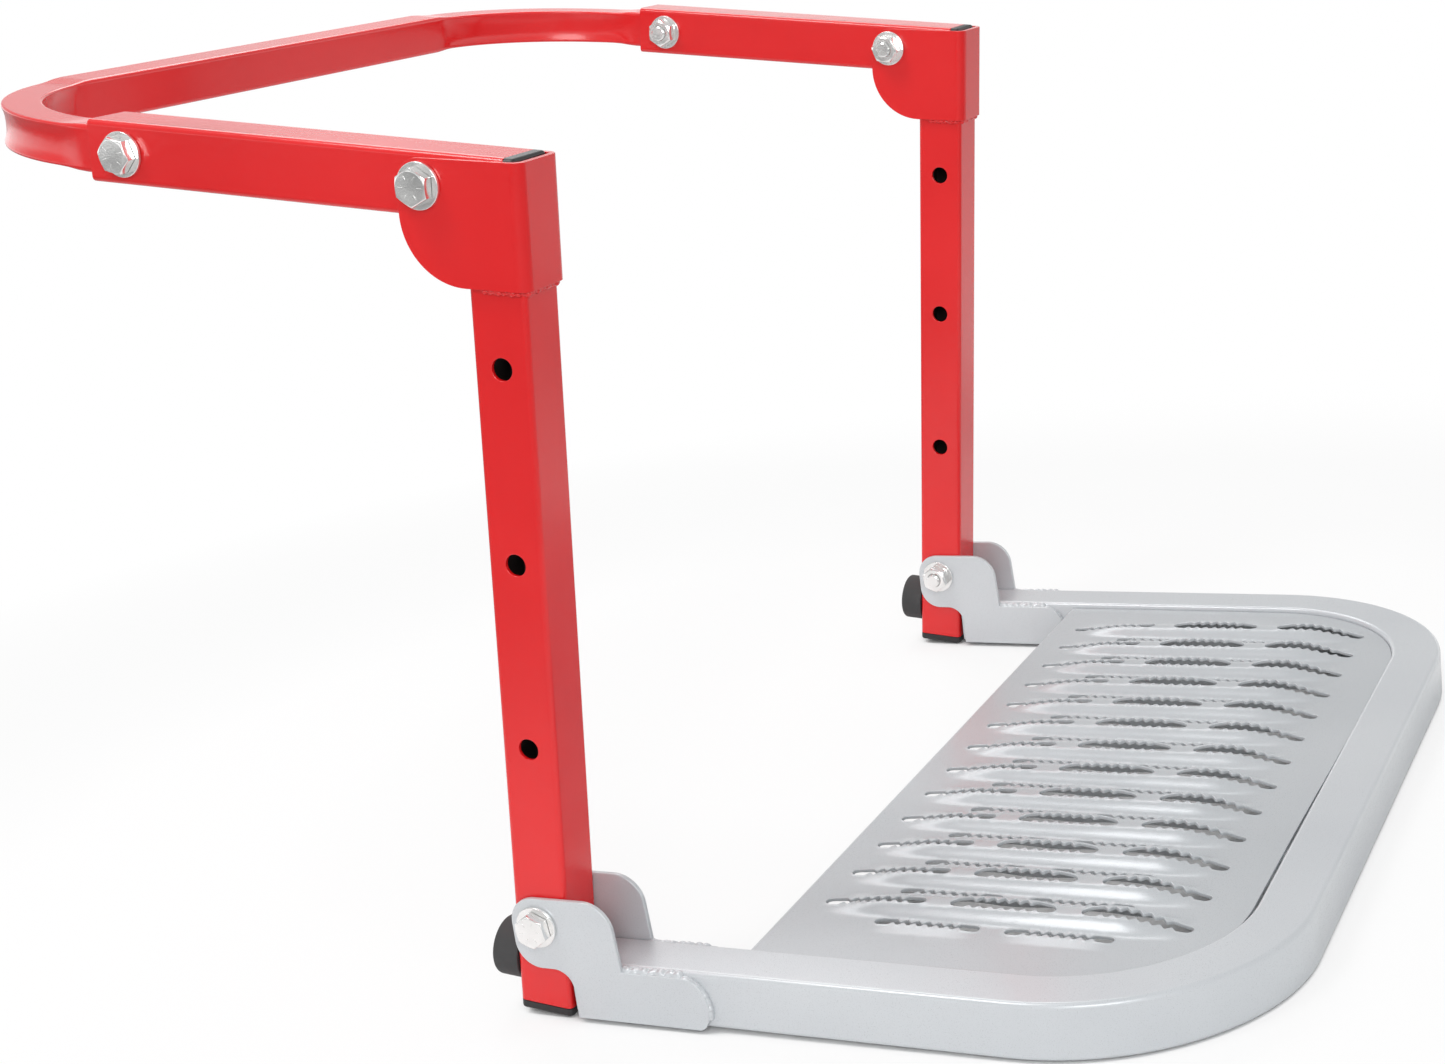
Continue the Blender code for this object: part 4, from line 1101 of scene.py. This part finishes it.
def make_tread():
    half_x = SPAN / 2 - HALF - GAP
    fold = -TREAD_BACK - TREAD_SHEET
    plan, links, slots = [], [], []

    def ring(points):
        """Adds a closed line to the plan."""
        start, count = len(plan), len(points)
        plan.extend(points)
        links.extend((start + i, start + (i + 1) % count) for i in range(count))
        return start

    border = tread_border(half_x, -STEP_REACH + TUBE + GAP, fold)
    ring(border)
    for row in range(ROWS):
        for middle, _ in row_slots(row):
            line, rim, collar = slot_outline(row, middle)
            slots.append((ring(collar), line, rim))
    plan.extend(tread_grid())

    # The plan is filled with triangles, and those inside a slot's collar are left out.
    spots, _, faces, origins = delaunay_2d_cdt(plan, links, [], 1, 1e-7)[:4]
    index = {source: i for i, sources in enumerate(origins) for source in sources}
    owner = {}
    for number, (start, line, _) in enumerate(slots):
        owner.update({index[start + i]: number for i in range(len(line))})

    def in_slot(face):
        number = owner.get(face[0], -1)
        if number < 0 or any(owner.get(i, -1) != number for i in face):
            return False
        start, line, _ = slots[number]
        middle = sum((spots[i] for i in face), Vector((0, 0))) / len(face)
        ring_spots = [plan[start + i] for i in range(len(line))]
        inside = False
        for one, two in zip(ring_spots, ring_spots[1:] + ring_spots[:1]):
            if (one.y > middle.y) != (two.y > middle.y):
                inside ^= middle.x < one.x + (middle.y - one.y) / (two.y - one.y) * (two.x - one.x)
        return inside

    faces = [face for face in faces if not in_slot(face)]

    # The sheet's top and underside
    levels = [sheet_height(s.x, s.y) - TREAD_TOP for s in spots]
    verts = [(s.x, s.y, z) for s, z in zip(spots, levels)]
    under = len(verts)
    verts += [(s.x, s.y, z - TREAD_SHEET) for s, z in zip(spots, levels)]
    quads = []
    for face in faces:
        quads.append(tuple(face))
        quads.append(tuple(under + i for i in reversed(face)))

    # Each slot's rim is rolled up a little and then goes straight through the sheet.
    for start, line, rim in slots:
        count = len(line)
        top = [index[start + i] for i in range(count)]
        bands = [top]
        for edge, share, rise in ((rim, 0.0, ROLL_OUTER), (rim, 0.65, ROLL_INNER),
                                  (line, 0.65, -RIM_DROP), (line, 0.65, RIM_DROP - TREAD_SHEET)):
            band = []
            for i in range(count):
                place = edge[i].lerp(line[i], share)
                band.append(len(verts))
                verts.append((place.x, place.y, levels[top[i]] + rise))
            bands.append(band)
        bands.append([under + i for i in top])
        for one, two in zip(bands, bands[1:]):
            for i in range(count):
                quads.append((one[i - 1], two[i - 1], two[i], one[i]))

    # The outer edge, and the rear edge folded down.
    edge = [index[i] for i in range(len(border))]
    for one, two in zip(edge, edge[1:]):
        quads.append((two, one, under + one, under + two))
    profile = []
    for i in range(1, 9):
        a = math.radians(90 - 90 * i / 8)
        profile.append((fold + TREAD_SHEET * math.cos(a),
                        -TREAD_TOP - TREAD_SHEET + TREAD_SHEET * math.sin(a)))
    low = -TREAD_TOP - TREAD_LIP
    profile += [(-TREAD_BACK, low + FOLD_RIM), (-TREAD_BACK - FOLD_RIM, low), (fold + FOLD_RIM, low),
                (fold, low + FOLD_RIM)]
    sides = []
    for end in (edge[0], edge[-1]):
        first = len(verts)
        verts += [(spots[end].x, y, z) for y, z in profile]
        sides.append([end, *range(first, len(verts)), under + end])
    left, right = sides
    for i in range(len(left) - 1):
        quads.append((left[i], left[i + 1], right[i + 1], right[i]))
    quads.append(tuple(left))
    quads.append(tuple(reversed(right)))

    data = bpy.data.meshes.new("formed_tread")
    data.from_pydata(verts, [], quads)
    data.validate()
    piece = bpy.data.objects.new("formed_tread", data)
    scene.collection.objects.link(piece)
    open_mesh(piece)
    bpy.ops.mesh.select_all(action="SELECT")
    bpy.ops.mesh.delete_loose()
    outward()
    close_mesh()
    smooth(piece, 50)
    settle(piece, "formed_tread", PLATFORM, "platform", "grey_paint", "tread_plate")
    piece.data.materials[0] = SHEET_PAINT


make_uprights()
make_arms()
make_hoop()
make_step_frame()
make_brackets()
make_hinge_plates()
make_plugs()
make_bumpers()
make_fasteners()
make_welds()
make_tread()

# The hidden CAD nodes get their finishes too.
SLOTS = {part["node"]: part["material_slot"] for part in record["subparts"]}
for name, node in nodes.items():
    node.data.materials.clear()
    node.data.materials.append(FINISHES[SLOTS[name]])
    node.select_set(False)


# Floor, world and lamps
COVER, OPEN, NEAR_GLOW = 0.08, (0.30, 0.52), 0.80    # metres, share of open sky, strength
FAR, BRIGHT_SIDE = (0.55, 1.10), (0.80, 1.05)        # metres from the middle, and along X
FLOOR_NEAR, FLOOR_FAR = (0.86, 0.86, 0.86), (0.36, 0.36, 0.36)
HORIZON, HORIZON_LIGHT, SKY_LIGHT = (0.10, 0.26), 1.4, 0.56
LAMPS = (   # name, spot, what it points at, size, watts
    ("lamp_over", (-0.8, 0.6, 2.3), (0, 0, 0.1), 0.8, 17),
    ("lamp_left", (-2.4, -1.2, 1.5), (0, 0, 0.2), 1.4, 27),
    ("lamp_back", (1.4, 1.0, 2.0), (0, -0.1, 0.1), 1.5, 17),
)


def stage_and_light():
    bpy.ops.mesh.primitive_plane_add(size=30, location=(0, 0, -0.0005))
    floor = bpy.context.object
    floor.name = "floor"
    material, tree, shader = new_material("pale floor")
    shader.inputs["Roughness"].default_value = 0.9
    glow = tree.nodes.new("ShaderNodeEmission")
    mix = tree.nodes.new("ShaderNodeMixShader")
    path = tree.nodes.new("ShaderNodeLightPath")
    place = tree.nodes.new("ShaderNodeTexCoord")
    split = tree.nodes.new("ShaderNodeSeparateXYZ")
    tree.links.new(place.outputs["Object"], split.inputs["Vector"])

    def times(one, two):
        node = tree.nodes.new("ShaderNodeMath")
        node.operation = "MULTIPLY"
        tree.links.new(one, node.inputs[0])
        tree.links.new(two, node.inputs[1])
        return node.outputs["Value"]

    # To the camera the floor glows white, a little less near the object and not at all where
    # something is close over it, as under the platform.
    cover = tree.nodes.new("ShaderNodeAmbientOcclusion")
    cover.inputs["Distance"].default_value = COVER
    length = tree.nodes.new("ShaderNodeVectorMath")
    length.operation = "LENGTH"
    tree.links.new(place.outputs["Object"], length.inputs[0])
    far = map_range(tree, length.outputs["Value"], *FAR, 0.0, 1.0)
    open_floor = map_range(tree, cover.outputs["AO"], *OPEN, 0.0, 1.0)
    glowing = times(open_floor, map_range(tree, far, 0.0, 1.0, NEAR_GLOW, 1.0))
    tree.links.new(times(path.outputs["Is Camera Ray"], glowing), mix.inputs["Fac"])
    # For the object the floor is darker far away, apart from the side that faces +X.
    dim = times(far, map_range(tree, split.outputs["X"], *BRIGHT_SIDE, 1.0, 0.0))
    colour_between(tree, dim, FLOOR_NEAR, FLOOR_FAR, shader.inputs["Base Color"], 0.0, 1.0)
    tree.links.new(shader.outputs["BSDF"], mix.inputs[1])
    tree.links.new(glow.outputs["Emission"], mix.inputs[2])
    tree.links.new(mix.outputs["Shader"], tree.nodes["Material Output"].inputs["Surface"])
    floor.data.materials.append(material)

    # The camera sees white, and the object a plain sky that is brighter along the horizon.
    world = bpy.data.worlds.new("studio")
    scene.world = world
    world.use_nodes = True
    tree = world.node_tree
    seen = tree.nodes["Background"]
    seen.inputs["Color"].default_value = (1, 1, 1, 1)
    seen.inputs["Strength"].default_value = 1.0
    light = tree.nodes.new("ShaderNodeBackground")
    light.inputs["Color"].default_value = (1, 1, 1, 1)
    place = tree.nodes.new("ShaderNodeTexCoord")
    split = tree.nodes.new("ShaderNodeSeparateXYZ")
    tree.links.new(place.outputs["Generated"], split.inputs["Vector"])
    band = map_range(tree, split.outputs["Z"], *HORIZON, HORIZON_LIGHT, SKY_LIGHT)
    tree.links.new(band, light.inputs["Strength"])
    path = tree.nodes.new("ShaderNodeLightPath")
    mix = tree.nodes.new("ShaderNodeMixShader")
    tree.links.new(path.outputs["Is Camera Ray"], mix.inputs["Fac"])
    tree.links.new(light.outputs["Background"], mix.inputs[1])
    tree.links.new(seen.outputs["Background"], mix.inputs[2])
    tree.links.new(mix.outputs["Shader"], tree.nodes["World Output"].inputs["Surface"])

    for name, spot, target, size, power in LAMPS:
        lamp = bpy.data.objects.new(name, bpy.data.lights.new(name, "AREA"))
        lamp.data.shape = "DISK"
        lamp.data.size = size
        lamp.data.energy = power
        scene.collection.objects.link(lamp)
        away = Vector(spot) - Vector(target)
        aim = away.to_track_quat("Z", "Y").to_matrix().to_4x4()
        lamp.matrix_world = Matrix.Translation(spot) @ aim


stage_and_light()
